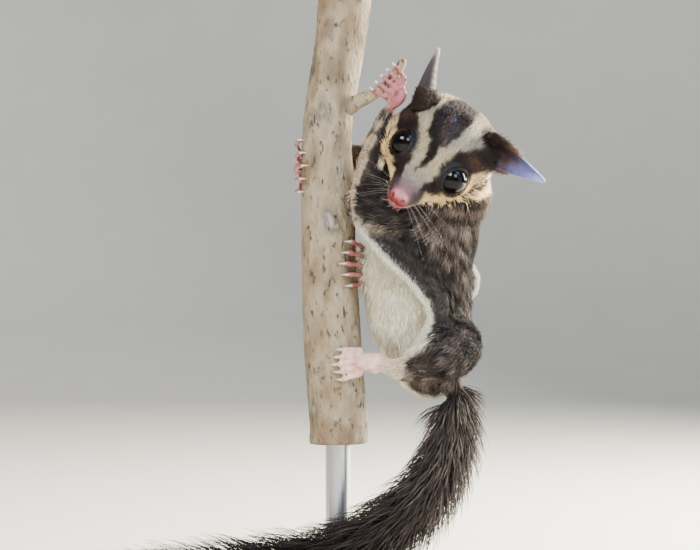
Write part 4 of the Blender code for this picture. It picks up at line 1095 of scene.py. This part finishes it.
# %% The head's coat
left, forward, up, high = face_plane(skin_points)
clear = ramp(eyes_away(skin_points) / MM, 4.9, 5.3) * ramp(lips_away(left, forward, up), 0.3, 0.9)
clear = clear * (1 - ramp(forward, 13.4, 14.6) * ramp(up, -10.4, -9.6))
gland = stroke(left, high, GLAND_SKIN, 0.5) * ramp(up, 0.0, 3.0)
jowls = ramp(np.abs(left), 9.5, 12.5) * (1 - ramp(up, -2.0, 1.0)) * ramp(forward, -16.0, -9.0)
density = np.where(skin_region == HEAD, 10.5 + 4.0 * jowls, 0.0) * clear * (1 - 0.85 * gland)
roots, normals, lies, region = sow(density, 101)
left, forward, up, high = face_plane(roots)
gap = eyes_away(roots) / MM
maker = np.random.default_rng(102)
vary = maker.uniform(0.75, 1.25, len(roots))
length = (0.7 + 2.2 * ramp(-forward, -12.5, 6.0)) * (0.38 + 0.62 * ramp(gap, 5.0, 8.0))
length = length * (1 - 0.6 * stroke(left, high, GLAND, 0.8)) + 1.5 * ramp(-forward, 14.0, 24.0)
cheek = stroke(np.abs(left), high, CHEEK, 1.5)
chin = ramp(-up, 9.6, 11.0) * ramp(forward, 4.0, 9.0)
jowl = ramp(np.abs(left), 8.5, 12.5) * (1 - ramp(up, -3.5, -0.5))
jowl = jowl * ramp(forward, -16.0, -9.0) * (1 - ramp(forward, 3.5, 8.0))
length = length * (1 + 0.25 * jowl) + 0.4 * chin
length *= vary * MM
rise = length * (maker.uniform(0.18, 0.32, len(roots)) + 0.42 * jowl)
width = 0.13 + 0.07 * ramp(-forward, -12.0, 4.0) * (1 - 0.6 * np.maximum(jowl, cheek))
width = width * maker.uniform(0.8, 1.25, len(roots)) * MM
# Hairs beside an ear climb it
for side, most in ((1, 1.0), (-1, 0.6)):
    off = np.linalg.norm(roots - np.array(EAR_BASES[side]), axis=1)
    climb = (1 - ramp(off, 0.004, 0.0075))[:, None] * most
    lies = unit(lies * (1 - climb) + np.array(EAR_WAYS[side]) * climb)
    rise = rise + climb[:, 0] * 0.0006
    length = length * (1 + 0.35 * climb[:, 0])
# The cheeks' hair leans back, and all of it strays a little
back = np.array(HEAD_TO_ROW.to_3x3() @ Vector((0.0, -1.0, 0.3)))
lies = unit(lies + back * (np.maximum(cheek, jowl) * 0.9)[:, None])
lies = unit(lies + unit(maker.normal(size=roots.shape)) * (0.13 - 0.06 * cheek)[:, None])
lies = along_skin(lies, normals)
colours, _ = markings(roots, normals, region)
# The finest and palest hairs stand beside the nose
by_nose = ramp(forward, 10.5, 12.5)[:, None] * ramp(-up, 7.0, 9.5)[:, None]
colours = colours * (1 - by_nose) + linear("#b3a496") * by_nose
width = width * (1 - 0.45 * ramp(forward, 9.0, 13.0))
colours = varied(colours, 0.13, maker)
tips = np.clip(colours * 1.12 + 0.003, 0, 1)
forward_way, up_way = (HEAD_TO_ROW.to_3x3() @ Vector(way) for way in ((0, 1, 0), (0, 0, 1)))
patches = tile(unwrap_round(roots, HEAD_PLACE, forward_way, up_way, -0.028, 0.016))
face = forward > np.median(forward)
values = (roots, normals, lies, length, rise, width, colours, tips, patches)
build_coat((("coat_face", face), ("coat_crown", ~face)), values, SHORT_TUFT, face_hair)

# %% The body's coat
MOST_TUFTS = 19500  # a piece with more is split into a front and a back one
TILE_OF = {name: k for k, name in enumerate(BODY_NODES[3:11] + list(PALMS))}


def body_coat(name, chosen_regions, per_mm2, length_mm, rise_share, width_mm, seed, unwrap):
    """Sows and builds the coat of some parts of the body."""
    density = np.where(np.isin(skin_region, chosen_regions), per_mm2, 0.0)
    roots, normals, lies, region = sow(density, seed)
    maker = np.random.default_rng(seed + 1)
    clump = ripple(roots, 0.0032, 31)
    length = length_mm(roots, region) * maker.uniform(0.7, 1.2, len(roots)) * MM
    rise = length * rise_share * np.clip(maker.normal(1.0, 0.25, len(roots)) + 0.22 * clump, 0.35, 1.9)
    width = width_mm * maker.uniform(0.75, 1.3, len(roots)) * MM
    swirl = np.stack([ripple(roots, 0.0045, 41 + k) for k in range(3)], axis=1)
    lies = along_skin(unit(lies + swirl * 0.13 + unit(maker.normal(size=roots.shape)) * 0.2), normals)
    colours, _ = markings(roots, normals, region)
    colours = varied(colours, 0.16, maker)
    pale = (maker.random(len(roots)) < 0.28)[:, None] * (colours.mean(axis=1) < 0.25)[:, None]
    tips = np.clip(np.where(pale, colours * 1.8 + 0.035, colours * 1.05), 0, 1)
    values = (roots, normals, lies, length, rise, width, colours, tips, unwrap(roots, normals, region))
    groups = [(name, np.ones(len(roots), dtype=bool))]
    if len(roots) > MOST_TUFTS:
        groups = [(name + "_front", normals[:, 1] < 0), (name + "_back", normals[:, 1] >= 0)]
    build_coat(groups, values, SHORT_TUFT, body_hair)


def trunk_patches(roots, normals, region):
    """The trunk, unwrapped round its own upright axis."""
    return tile(unwrap_round(roots, CHEST + Vector((0.026, 0.003, 0.0)), (0, 0, 1), (1, 0, 0), -0.045, 0.055))


def limb_patches(roots, normals, region):
    """Each limb, hand and foot has its own tile, unwrapped round its own line."""
    patches = np.zeros((len(roots), 2))
    for name, k in TILE_OF.items():
        here = is_part(region, name)
        line = at_chest(BODY_LINES[name])
        way = Vector(line[-1][:3] - line[0][:3])
        across = way.normalized().orthogonal()
        around = unwrap_round(roots[here], line[0][:3], way, across, -0.006, way.length + 0.012)
        patches[here] = tile(around, k % 4, 4, k // 4, 3)
    return patches


def membrane_patches(roots, normals, region):
    """Both faces of a membrane side by side: the height, and how far out from the root."""
    patches = np.zeros((len(roots), 2))
    for name, line in MEMBRANE_LINES.items():
        here = is_part(region, name)
        index, away = nearest_rows(roots[here], line)
        upper = (normals[here, 0] - 0.4 * normals[here, 1] > 0) * 1.0
        flat = np.stack((index / 89, np.clip(away / 0.016, 0, 1)), axis=1)
        patches[here] = (0.02 + flat * 0.95) * (1.0, 0.5) + np.stack((0 * upper, upper * 0.5), axis=1)
    return patches


def trunk_length(roots, region):
    return np.where(region == NECK, 3.8, 4.4) + belly_share(roots)


def limb_length(roots, region):
    return np.where(is_part(region, "forearm_left", "forearm_right", "shank_left", "shank_right"), 2.0, 4.0)


def membrane_length(roots, region):
    away = np.minimum(*[nearest_rows(roots, line)[1] for line in MEMBRANE_LINES.values()])
    return 1.4 + ramp(away, 0.003, 0.006)


body_coat("coat_body", [TORSO, NECK], 7.2, trunk_length, 0.28, 0.21, 201, trunk_patches)
body_coat("coat_limbs", LIMBS, 7.4, limb_length, 0.27, 0.2, 211, limb_patches)
for name, part, seed in zip(MEMBRANE_LINES, MEMBRANES, (221, 231)):
    body_coat("coat_" + name, [part], 7.6, membrane_length, 0.15, 0.17, seed, membrane_patches)

# %% [markdown]
# The tail is half the animal's length and nearly all hair: each lock leaves the thin core, rises and
# sweeps back, so the brush is widest in its middle and draws in to a soft point.

# %% The tail's coat
roots, normals, lies, region = sow(np.where(skin_region == TAIL_REGION, 3.0, 0.0), 301)
index, away = nearest_rows(roots, TAIL_ROWS)
maker = np.random.default_rng(302)
along = index / (len(TAIL_ROWS) - 1)
reach = np.interp(along + 0.07, np.linspace(0, 1, len(TAIL_ROWS)), TAIL_ROWS[:, 3])
length = (
    np.interp(along, (0, 0.12, 0.3, 0.9, 1.0), (6, 11, 15, 14, 9)) * maker.uniform(0.75, 1.15, len(roots)) * MM
)
lies = unit(lies + unit(maker.normal(size=roots.shape)) * 0.14)
rise = np.maximum(reach - away, 0.001) * np.clip(maker.normal(0.8, 0.22, len(roots)), 0.15, 1.12)
width = 0.42 * maker.uniform(0.7, 1.3, len(roots)) * MM
colours, _ = markings(roots, normals, region)
colours = varied(colours, 0.22, maker)
tips = np.clip(colours * np.where(maker.random((len(roots), 1)) < 0.2, 1.6, 0.85), 0, 1)
turn = np.arctan2(normals[:, 2], normals[:, 1]) / (2 * math.pi) + 0.5
values = (roots, normals, lies, length, rise, width, colours, tips, tile(np.stack((along, turn), axis=1)))
near = along < np.median(along)
build_coat((("coat_tail_base", near), ("coat_tail_end", ~near)), values, LONG_TUFT, tail_hair)

# %% [markdown]
# ## Eyes
# A glider's eyes are large, round and almost black: a very wide pupil in a dark brown iris, under a
# clear wet cornea. Each is a ball with a low dome in front, dark and glossy, set between the lids so
# that a little over half of it is hidden. The lights give it its catchlight.

# %% Eyes
eye_material, eye_tree, eye_shader = new_material(
    "wet_cornea_over_dark_iris", Roughness=0.03, IOR=1.34, Specular_IOR_Level=0.3
)
ring = add_node(eye_tree, "Attribute", attribute_name="iris").outputs["Fac"]
shade = add_node(eye_tree, "ValToRGB", {"Fac": ring})
for spot, code in ((0.0, "#020203"), (0.38, "#030304"), (0.47, "#0a0605"), (0.6, "#0e0906"), (0.72, "#040303")):
    shade.color_ramp.elements.new(spot).color = opaque(code)
wire(eye_shader, {"Base Color": shade})
for name, spot, way in zip(("eye_left", "eye_right"), EYE_SPOTS, EYE_WAYS):
    bm = bmesh.new()
    bmesh.ops.create_uvsphere(bm, u_segments=48, v_segments=32, radius=EYE_RADIUS + 0.00015)
    for vert in bm.verts:
        vert.co.z += 0.00035 * math.exp(-((math.hypot(vert.co.x, vert.co.y) / 0.003) ** 2)) * (vert.co.z > 0)
    turned = Matrix.Translation(spot) @ way.to_track_quat("Z", "Y").to_matrix().to_4x4()
    bmesh.ops.transform(bm, matrix=turned, verts=bm.verts)
    eye = new_piece("glossy_" + name, bm, eye_material)
    points, _ = read_mesh(eye.data)
    off = np.degrees(np.arccos(np.clip(unit(points - spot) @ np.array(way), -1, 1))) / 90
    put_shares(eye.data, "iris", off)
    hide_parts(name)
print("eyes are", round(EYE_RADIUS * 2000, 1), "mm across")

# %% [markdown]
# The lids are two thin rims of dark, hairless skin that hug the ball. A ring extruded round the
# opening, a little taller than wide and fatter above than below, gives them, and it is sunk into the
# skin that was built up there.

# %% Lids
lid_material, lid_tree, lid_shader = new_material("dark_lid_skin", Roughness=0.6, Specular_IOR_Level=0.12)
place = add_node(lid_tree, "TexCoord").outputs["Object"]
grain = add_node(lid_tree, "TexNoise", {"Vector": place, "Scale": per_mm(0.4), "Detail": 3.0})
shade = add_node(
    lid_tree, "Mix", {"Factor": grain, "A": opaque("#080505"), "B": opaque("#1d1311")}, data_type="RGBA"
)
wire(lid_shader, {"Base Color": shade})
bump = add_node(lid_tree, "Bump", {"Height": grain, "Strength": 0.5, "Distance": 0.0001})
wire(lid_shader, {"Normal": bump})
for name, spot, way in zip(("lids_left", "lids_right"), EYE_SPOTS, EYE_WAYS):
    turn = way.to_track_quat("Z", "Y")
    up = HEAD_TO_ROW.to_3x3() @ Vector((0, -0.5, 0.86))
    up = (up - way * up.dot(way)).normalized()
    side = way.cross(up)
    rows = []
    for k in range(49):
        angle = 2 * math.pi * k / 48
        rim = Vector(spot) + (up * math.sin(angle) * 1.03 + side * math.cos(angle) * 0.97) * LID_RADIUS
        rows.append((*(rim + way * 0.00165), 0.00052 + 0.00014 * max(0.0, math.sin(angle))))
    bm = bmesh.new()
    grow_tube(bm, rows, 10)
    new_piece(name, bm, lid_material)
print("lids closed round both eyes")

# %% [markdown]
# ## Ears
# The ears are thin, nearly bare cups of skin, rolled at the base and drawn out to a point that hooks
# back. A grid is bent into the cup with the solids' own measures, and Solidify gives it a wall that a
# strong light can glow through. Fine ridges cross the inside, as on the real ear.

# %% Ears
# Side of the head, length, and the way that the cup opens
EARS = {
    "ear_left": (1, 0.0166, Vector((-0.3, -0.9, -0.3))),
    "ear_right": (-1, 0.0165, Vector((-0.8, 0.5, 0.0))),
}
EAR_HALF_WIDTH, EAR_DEPTH, EAR_HOOK, EAR_SUNK, EAR_WALL = 0.0042, 0.0031, 0.0026, 0.0046, 0.00042
# Partly painted light: the pale blue end of each ramp paints the glow through the rim and the sky on it.
EAR_TINTS = {
    "ear_left": ("#1a1010", "#352a38", "#545884", "#95a1cc"),
    "ear_right": ("#0f0a09", "#1d1615", "#352c2c", "#7d737f"),
}


def ear_material(name, tints):
    """Bare ear skin, dark at the base; the paler, bluer rim is partly its own, partly painted glow and sky."""
    glow = {"Subsurface_Weight": 0.3, "Subsurface_Scale": 1.0, "Subsurface_Radius": (0.001, 0.0005, 0.0004)}
    made, tree, shader = new_material(name + "_skin", Roughness=0.55, Specular_IOR_Level=0.14, **glow)
    place = add_node(tree, "TexCoord").outputs["Object"]
    base_to_rim = add_node(tree, "Attribute", attribute_name="to_rim").outputs["Fac"]
    cloud = add_node(tree, "TexNoise", {"Vector": place, "Scale": per_mm(1.5), "Detail": 4.0})
    shift = add_node(tree, "MapRange", {"Value": cloud, "To Min": -0.14, "To Max": 0.14})
    where = add_node(tree, "Math", {0: base_to_rim, 1: shift}, operation="ADD")
    shade = add_node(tree, "ValToRGB", {"Fac": where})
    for spot, code in zip((0.08, 0.34, 0.72, 0.97), tints):
        shade.color_ramp.elements.new(spot).color = opaque(code)
    wire(shader, {"Base Color": shade})
    skin_grain = add_node(tree, "TexNoise", {"Vector": place, "Scale": per_mm(0.3), "Detail": 2.0})
    bump = add_node(tree, "Bump", {"Height": skin_grain, "Strength": 0.4, "Distance": 0.00008})
    wire(shader, {"Normal": bump})
    return made


for name, (side, length, open_way) in EARS.items():
    base, way = EAR_BASES[side], Vector(EAR_WAYS[side]).normalized()
    open_way = (open_way - way * open_way.dot(way)).normalized()
    across = way.cross(open_way).normalized()
    bm = bmesh.new()
    bmesh.ops.create_grid(bm, x_segments=34, y_segments=44, size=0.5)
    shares = []
    for vert in bm.verts:
        t, v = 2 * vert.co.x, vert.co.y + 0.5
        taper = (1 - v**1.7) ** 0.75 + 0.03
        angle = math.radians(128 - 72 * v) * t
        ridge = 0.00007 * math.sin(v * 60) * (1 - abs(t)) * (v < 0.75)
        lip = 0.0004 * abs(t) ** 6
        centre = base + way * ((length + EAR_SUNK) * v - EAR_SUNK) + Vector((EAR_HOOK * v**3, 0.0, 0.0))
        sideways = across * math.sin(angle) * (EAR_HALF_WIDTH * taper + lip)
        vert.co = centre + sideways - open_way * (math.cos(angle) * EAR_DEPTH * taper + ridge)
        shares.append(max(v * 0.9, abs(t) ** 5 * (0.35 + 0.65 * v)))
    ear = new_piece(name + "_cup", bm, ear_material(name, EAR_TINTS[name]))
    put_shares(ear.data, "to_rim", shares)
    wall = ear.modifiers.new("wall", "SOLIDIFY")
    wall.thickness, wall.offset = EAR_WALL, 0.0
    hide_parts(name)
print("ears:", ", ".join(EARS))

# %% [markdown]
# Short dark hairs wrap the roots of the ears and thin out up their backs. They hide where the cup
# leaves the head.

# %% Hairs on the ears
EAR_HAIRS = 3400
EAR_FUR = {"ear_left": 0.0085, "ear_right": 0.0032}  # how far up the ear the dark hairs reach
ear_roots, ear_normals, ear_lies, ear_shares = [], [], [], []
maker = np.random.default_rng(401)
for name, (side, _, _) in EARS.items():
    mesh = bpy.data.objects[name + "_cup"].data
    points, _ = read_mesh(mesh)
    share = np.empty(len(mesh.vertices) * 4)
    mesh.color_attributes["to_rim"].data.foreach_get("color", share)
    share = share.reshape(-1, 4)[:, 0]
    centre, way = np.array(EAR_BASES[side]), np.array(Vector(EAR_WAYS[side]).normalized())
    climb = (points - centre) @ way
    outward = unit(points - centre - climb[:, None] * way)
    furred = EAR_FUR[name]
    weight = 1 - ramp(climb, furred * 0.45, furred)
    picks = maker.choice(len(points), EAR_HAIRS, p=weight / weight.sum())
    spread = maker.normal(0, 0.00022, (len(picks), 3))
    ear_roots.append(points[picks] + spread)
    ear_normals.append(outward[picks])
    ear_lies.append(unit(way + maker.normal(0, 0.22, (len(picks), 3))))
    ear_shares.append(np.clip(climb[picks] / (furred * 1.5), 0, 1))
roots, normals, lies, high_up = map(np.concatenate, (ear_roots, ear_normals, ear_lies, ear_shares))
length = (3.8 - 2.4 * high_up) * maker.uniform(0.6, 1.2, len(roots)) * MM
length[EAR_HAIRS:] *= 0.4
tuft = np.array([linear("#8a6a52")] * EAR_HAIRS + [linear("#3d2f2a")] * EAR_HAIRS)
colours = linear("#21160f") * (1 - high_up[:, None]) + tuft * high_up[:, None]
colours = varied(colours, 0.25, maker)
across = np.concatenate((np.linspace(0.01, 0.48, EAR_HAIRS), np.linspace(0.51, 0.98, EAR_HAIRS)))
patches = np.stack((across, 0.02 + 0.95 * high_up), axis=1)
width = (0.2 - 0.08 * high_up) * MM
values = (roots, normals, lies, length, length * 0.22, width, colours, colours * 1.3, patches)
build_coat([("coat_ears", slice(None))], values, SHORT_TUFT, face_hair)

# %% [markdown]
# ## Claws and whiskers
# Each digit ends in a thin hooked claw of pale horn, which grows from the last joint: an extruded
# circle that tapers along its arc. The whiskers are stiff single hairs, some 15 mm long, that leave the
# muzzle in two sprays and droop at their ends.

# %% Claws
claw_material, claw_tree, claw_shader = new_material(
    "claw_horn", Roughness=0.3, Specular_IOR_Level=0.5, Subsurface_Weight=0.2
)
place = add_node(claw_tree, "TexCoord").outputs["Object"]
growth = add_node(claw_tree, "TexNoise", {"Vector": place, "Scale": per_mm(0.6), "Detail": 3.0})
shade = add_node(
    claw_tree, "Mix", {"Factor": growth, "A": opaque("#d8cdbd"), "B": opaque("#a89784")}, data_type="RGBA"
)
wire(claw_shader, {"Base Color": shade})
claws = bmesh.new()
for made in DIGITS.values():
    for _, claw in made:
        grow_tube(claws, flow(claw, 14), 8)
new_piece("claws", claws, claw_material)
print("claws:", sum(len(made) for made in DIGITS.values()))

# %% Whiskers
whisker_material, _, _ = new_material(
    "whisker_hair", Base_Color=opaque("#85776a"), Roughness=0.35, Specular_IOR_Level=0.5
)
maker = np.random.default_rng(501)
whiskers = bmesh.new()
sprays = [(side, row, k) for side in (1, -1) for row in range(3) for k in range(3)]
for side, row, k in sprays:
    forward, up = 12.6 - 1.5 * k, -9.0 + 1.15 * row + 0.1 * k
    root = Vector((side * (3.4 + 0.62 * k), forward, up)) * MM
    reach = (13 + 2.2 * k + 2.0 * row) * maker.uniform(0.75, 1.1) * MM
    out = Vector((side * (0.75 + 0.05 * k), 0.22 - 0.16 * k, -0.42 + 0.2 * row + maker.normal(0, 0.08)))
    start, end = HEAD_TO_ROW @ root, HEAD_TO_ROW.to_3x3() @ out.normalized()
    rows = []
    for step in range(9):
        t = step / 8
        spot = start + end * reach * t + Vector((0, 0, -1)) * reach * 0.26 * t * t
        rows.append((*spot, (0.026 * (1 - t) + 0.006) * MM))
    grow_tube(whiskers, rows, 4)
new_piece("whiskers", whiskers, whisker_material)
print("whiskers:", len(sprays))

# %% [markdown]
# ## The branch
# The branch is a young grey-brown limb with the bark on: smooth, slightly lumpy, with a few raised
# lenticels, the scar of a fallen twig, and darker brown stains in patches. Both cuts are sawn and
# show pale wood with its rings. It is one extruded circle, moved by soft noise and by the lenticels.

# %% Branch mesh
BRANCH_ROWS, BRANCH_SIDES = 190, 96
LENTICELS = 46
WAVES_ALONG = 23  # how many steps of the solid's own slow bulges run along the branch


def lumps(points, centres, around):
    """How far the bark stands out at each point, in metres."""
    out = ripple(points * np.array((1, 1, 0.5)), 0.006, 61) * 0.00022
    out += ripple(points * np.array((1, 1, 1.6)), 0.002, 62) * 0.00008
    maker = np.random.default_rng(63)
    for _ in range(LENTICELS):
        height, angle = maker.uniform(BRANCH[0, 2], BRANCH[-1, 2]), maker.uniform(0, 2 * math.pi)
        low = np.abs(points[:, 2] - height) < 0.002
        across = np.angle(np.exp(1j * (around - angle))) * 0.0088
        wide, tall, raised = maker.uniform(0.6, 1.3), maker.uniform(0.3, 0.6), maker.uniform(0.1, 0.24)
        spot = np.exp(-((across / MM / wide) ** 2) - (((points[:, 2] - height) / MM / tall) ** 2))
        out += np.where(low, spot * raised * MM, 0.0)
    knot = np.exp(-((points[:, 2] - (CHEST.z + 0.018)) / 0.0035) ** 2)
    facing_out = np.clip(-(points - centres)[:, 1] / 0.009, 0, 1) ** 6
    return out + knot * facing_out * 0.0007


bm = bmesh.new()
branch_line = flow(BRANCH, BRANCH_ROWS)
rings = grow_tube(bm, branch_line, BRANCH_SIDES)
bm.verts.ensure_lookup_table()
verts = [vert for ring in rings for vert in ring]
points = np.array([vert.co[:] for vert in verts])
centres = np.repeat(branch_line[:, :3], BRANCH_SIDES, axis=0)
around = np.arctan2((points - centres)[:, 1], (points - centres)[:, 0])
step = np.repeat(np.arange(BRANCH_ROWS) * WAVES_ALONG / (BRANCH_ROWS - 1), BRANCH_SIDES)
ends = np.clip(np.minimum(step / 2, (WAVES_ALONG - step) / 2), 0, 1)
swell = 0.018 * np.sin(3 * around + 0.7 * step) * ends + 0.015 * np.sin(2 * around - 0.45 * step) * ends
edge = np.minimum(np.arange(BRANCH_ROWS), np.arange(BRANCH_ROWS)[::-1])
ease = np.repeat(np.clip(edge / 2, 0.0, 1.0), BRANCH_SIDES)
outward = unit(points - centres)
move = swell * np.repeat(branch_line[:, 3], BRANCH_SIDES)
move = move + lumps(points, centres, around) * (0.3 + 0.7 * ease) - 0.0004 * (1 - ease)
for vert, way, by in zip(verts, outward, move):
    vert.co += Vector(way * by)
grow_tube(bm, rounded(flow(TWIG, 30))[3:], 20)
print("branch rows:", BRANCH_ROWS)

# %% [markdown]
# Bark is dull and mottled: grey where lichen films it, browner in patches, with dark flecks one
# or two millimetres long. The sawn ends are told from the bark by their many corners, and show growth
# rings about a millimetre apart round the pith.

# %% Bark and sawn wood
bark, tree, shader = new_material("grey_bark_and_sawn_ends", Roughness=0.85, Specular_IOR_Level=0.25)
place = add_node(tree, "TexCoord").outputs["Object"]
long_way = add_node(tree, "Mapping", {"Vector": place, "Scale": (1.0, 1.0, 0.45)})
patch = add_node(tree, "TexNoise", {"Vector": long_way, "Scale": per_mm(7.0), "Detail": 5.0})
grey = add_node(tree, "ValToRGB", {"Fac": patch})
for spot, code in ((0.28, "#57493a"), (0.42, "#74654f"), (0.55, "#8f826b"), (0.7, "#645c50")):
    grey.color_ramp.elements.new(spot).color = opaque(code)
flecks = add_node(tree, "TexNoise", {"Vector": long_way, "Scale": per_mm(1.5), "Detail": 3.0})
dark = add_node(tree, "MapRange", {"Value": flecks, "From Min": 0.58, "From Max": 0.68})
marked = add_node(tree, "Mix", {"Factor": dark, "A": grey, "B": opaque("#3a352b")}, data_type="RGBA")
stain = add_node(tree, "TexNoise", {"Vector": place, "Scale": per_mm(14.0), "Detail": 2.0})
stained = add_node(tree, "MapRange", {"Value": stain, "From Min": 0.5, "From Max": 0.68, "To Max": 0.6})
brown = add_node(tree, "Mix", {"Factor": stained, "A": marked, "B": opaque("#6f5a41")}, data_type="RGBA")
core = add_node(
    tree, "Mapping", {"Vector": place, "Location": (-BRANCH[0, 0], 0.0, 0.0), "Scale": (1.0, 1.0, 0.0)}
)
rings_wave = add_node(
    tree, "TexWave", {"Vector": core, "Scale": per_mm(20.0), "Distortion": 1.2, "Detail Scale": 0.6},
    wave_type="RINGS", rings_direction="Z"
)
wood = add_node(
    tree, "Mix", {"Factor": rings_wave.outputs["Fac"], "A": opaque("#cdb78f"), "B": opaque("#a98a5c")},
    data_type="RGBA"
)
sawn = add_node(tree, "Attribute", attribute_name="sawn").outputs["Fac"]
both = add_node(tree, "Mix", {"Factor": sawn, "A": brown, "B": wood}, data_type="RGBA")
wire(shader, {"Base Color": both})
fine = add_node(tree, "TexNoise", {"Vector": long_way, "Scale": per_mm(0.7), "Detail": 4.0})
height = add_node(tree, "Math", {0: fine, 1: flecks}, operation="ADD")
bump = add_node(tree, "Bump", {"Height": height, "Strength": 1.0, "Distance": 0.0005})
wire(shader, {"Normal": bump})
branch = new_piece("bark_branch", bm, bark)
# Only the cuts have so many corners
sawn_values = [float(polygon.loop_total > 40) for polygon in branch.data.polygons]
layer = branch.data.attributes.new("sawn", "FLOAT_COLOR", "FACE")
layer.data.foreach_set("color", np.repeat(sawn_values, 4).astype(np.float32))
branch.data.set_sharp_from_angle(angle=math.radians(50))
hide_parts("branch")
print("branch:", len(branch.data.polygons), "faces")

# %% [markdown]
# ## The stand
# The plain stand stays as the solids give it. The plate is oiled oak: straight grain along its length
# with a cell of 1 to 2 mm, and small dark pores. The rod is turned steel, brushed round its length.

# %% Oak plate
oak, tree, shader = new_material("oiled_oak", Specular_IOR_Level=0.4)
place = add_node(tree, "TexCoord").outputs["Object"]
along_grain = add_node(tree, "Mapping", {"Vector": place, "Scale": (0.06, 1.0, 1.0)})
bend = add_node(tree, "TexNoise", {"Vector": along_grain, "Scale": per_mm(9.0), "Detail": 2.0})
grain = add_node(tree, "TexNoise", {"Vector": along_grain, "Scale": per_mm(1.6), "Detail": 5.0})
both = add_node(tree, "Math", {0: bend, 1: grain}, operation="ADD")
tone = add_node(tree, "MapRange", {"Value": both, "From Min": 0.75, "From Max": 1.25})
shade = add_node(
    tree, "Mix", {"Factor": tone, "A": opaque("#8a6238"), "B": opaque("#b98f5d")}, data_type="RGBA"
)
pores = add_node(tree, "TexNoise", {"Vector": along_grain, "Scale": per_mm(0.55), "Detail": 1.0})
holes = add_node(tree, "MapRange", {"Value": pores, "From Min": 0.62, "From Max": 0.7})
dotted = add_node(tree, "Mix", {"Factor": holes, "A": shade, "B": opaque("#4d341d")}, data_type="RGBA")
wire(shader, {"Base Color": dotted})
rough = add_node(tree, "MapRange", {"Value": grain, "To Min": 0.42, "To Max": 0.58})
wire(shader, {"Roughness": rough})
bump = add_node(tree, "Bump", {"Height": pores, "Strength": 0.25, "Distance": 0.0002})
wire(shader, {"Normal": bump})
nodes["stand_base"].material_slots[0].material = oak
print("oak on the plate")

# %% Brushed steel rod
steel, tree, shader = new_material("brushed_steel", Base_Color=opaque("#b9babd"), Metallic=1.0)
place = add_node(tree, "TexCoord").outputs["Object"]
turning = add_node(tree, "Mapping", {"Vector": place, "Scale": (0.08, 0.08, 1.0)})
lines = add_node(tree, "TexNoise", {"Vector": turning, "Scale": per_mm(0.35), "Detail": 2.0})
rough = add_node(tree, "MapRange", {"Value": lines, "To Min": 0.24, "To Max": 0.44})
wire(shader, {"Roughness": rough})
bump = add_node(tree, "Bump", {"Height": lines, "Strength": 0.15, "Distance": 0.00005})
wire(shader, {"Normal": bump})
nodes["stand_rod"].material_slots[0].material = steel
print("steel on the rod")

# %% [markdown]
# ## Floor and light
# A pale floor sweeps up into a pale wall far behind, so that nothing competes with the animal. A soft
# warm light above on the left models the form, and a cooler one on the right stands for the sky. A blue
# panel shows only as a gleam on eyes and damp skin, a weak light lifts the shadows, and a strong one
# behind edges the fur, as the sun did.

# %% Floor
paper, tree, shader = new_material("pale_paper", Roughness=0.9, Specular_IOR_Level=0.2)
place = add_node(tree, "TexCoord").outputs["Object"]
fibre = add_node(tree, "TexNoise", {"Vector": place, "Scale": per_mm(60.0), "Detail": 3.0})
shade = add_node(
    tree, "Mix", {"Factor": fibre, "A": opaque("#e3e4dd"), "B": opaque("#ecece6")}, data_type="RGBA"
)
wire(shader, {"Base Color": shade})
bm = bmesh.new()
profile = [(-3.0, 0.0), (1.6, 0.0), (2.0, 0.06), (2.25, 0.25), (2.4, 0.6), (2.45, 1.2), (2.45, 2.6)]
line = [bm.verts.new((-3.0, y, z)) for y, z in profile]
edges = [bm.edges.new(pair) for pair in zip(line, line[1:])]
grown = bmesh.ops.extrude_edge_only(bm, edges=edges)["geom"]
moving = [item for item in grown if isinstance(item, bmesh.types.BMVert)]
bmesh.ops.translate(bm, vec=(6.0, 0.0, 0.0), verts=moving)
mesh = bpy.data.meshes.new("floor")
bm.to_mesh(mesh)
bm.free()
mesh.materials.append(paper)
mesh.shade_smooth()
floor = bpy.data.objects.new("floor", mesh)
bpy.context.collection.objects.link(floor)
print("floor laid")

# %% Lights
AIM = Vector((0.0, 0.0, 0.13))


def soft_light(name, place, size, power, colour):
    """A square studio light that looks at the animal."""
    data = bpy.data.lights.new(name, "AREA")
    data.size, data.energy, data.color = size, power, tuple(linear(colour))
    lamp = bpy.data.objects.new(name, data)
    lamp.location = place
    lamp.rotation_euler = (AIM - Vector(place)).to_track_quat("-Z", "Y").to_euler()
    lamp.visible_camera = False
    bpy.context.collection.objects.link(lamp)
    return lamp


soft_light("key", (-0.3, -0.8, 0.8), 0.38, 20.0, "#fffaf2")
soft_light("sky", (0.35, -0.85, 0.62), 0.32, 9.0, "#cadcff")
panel = soft_light("panel", (0.6, -0.5, 0.86), 0.42, 7.0, "#78acff")
panel.visible_diffuse = False
soft_light("fill", (0.85, -0.6, 0.25), 0.6, 2.5, "#eef3ff")
soft_light("edge", (0.78, 0.42, 0.4), 0.45, 88.0, "#fff4e0")
world = bpy.data.worlds.new("studio")
bpy.context.scene.world = world
world.use_nodes = True
wire(world.node_tree.nodes["Background"], {"Color": opaque("#e6ebf0"), "Strength": 0.45})
print("lights set")
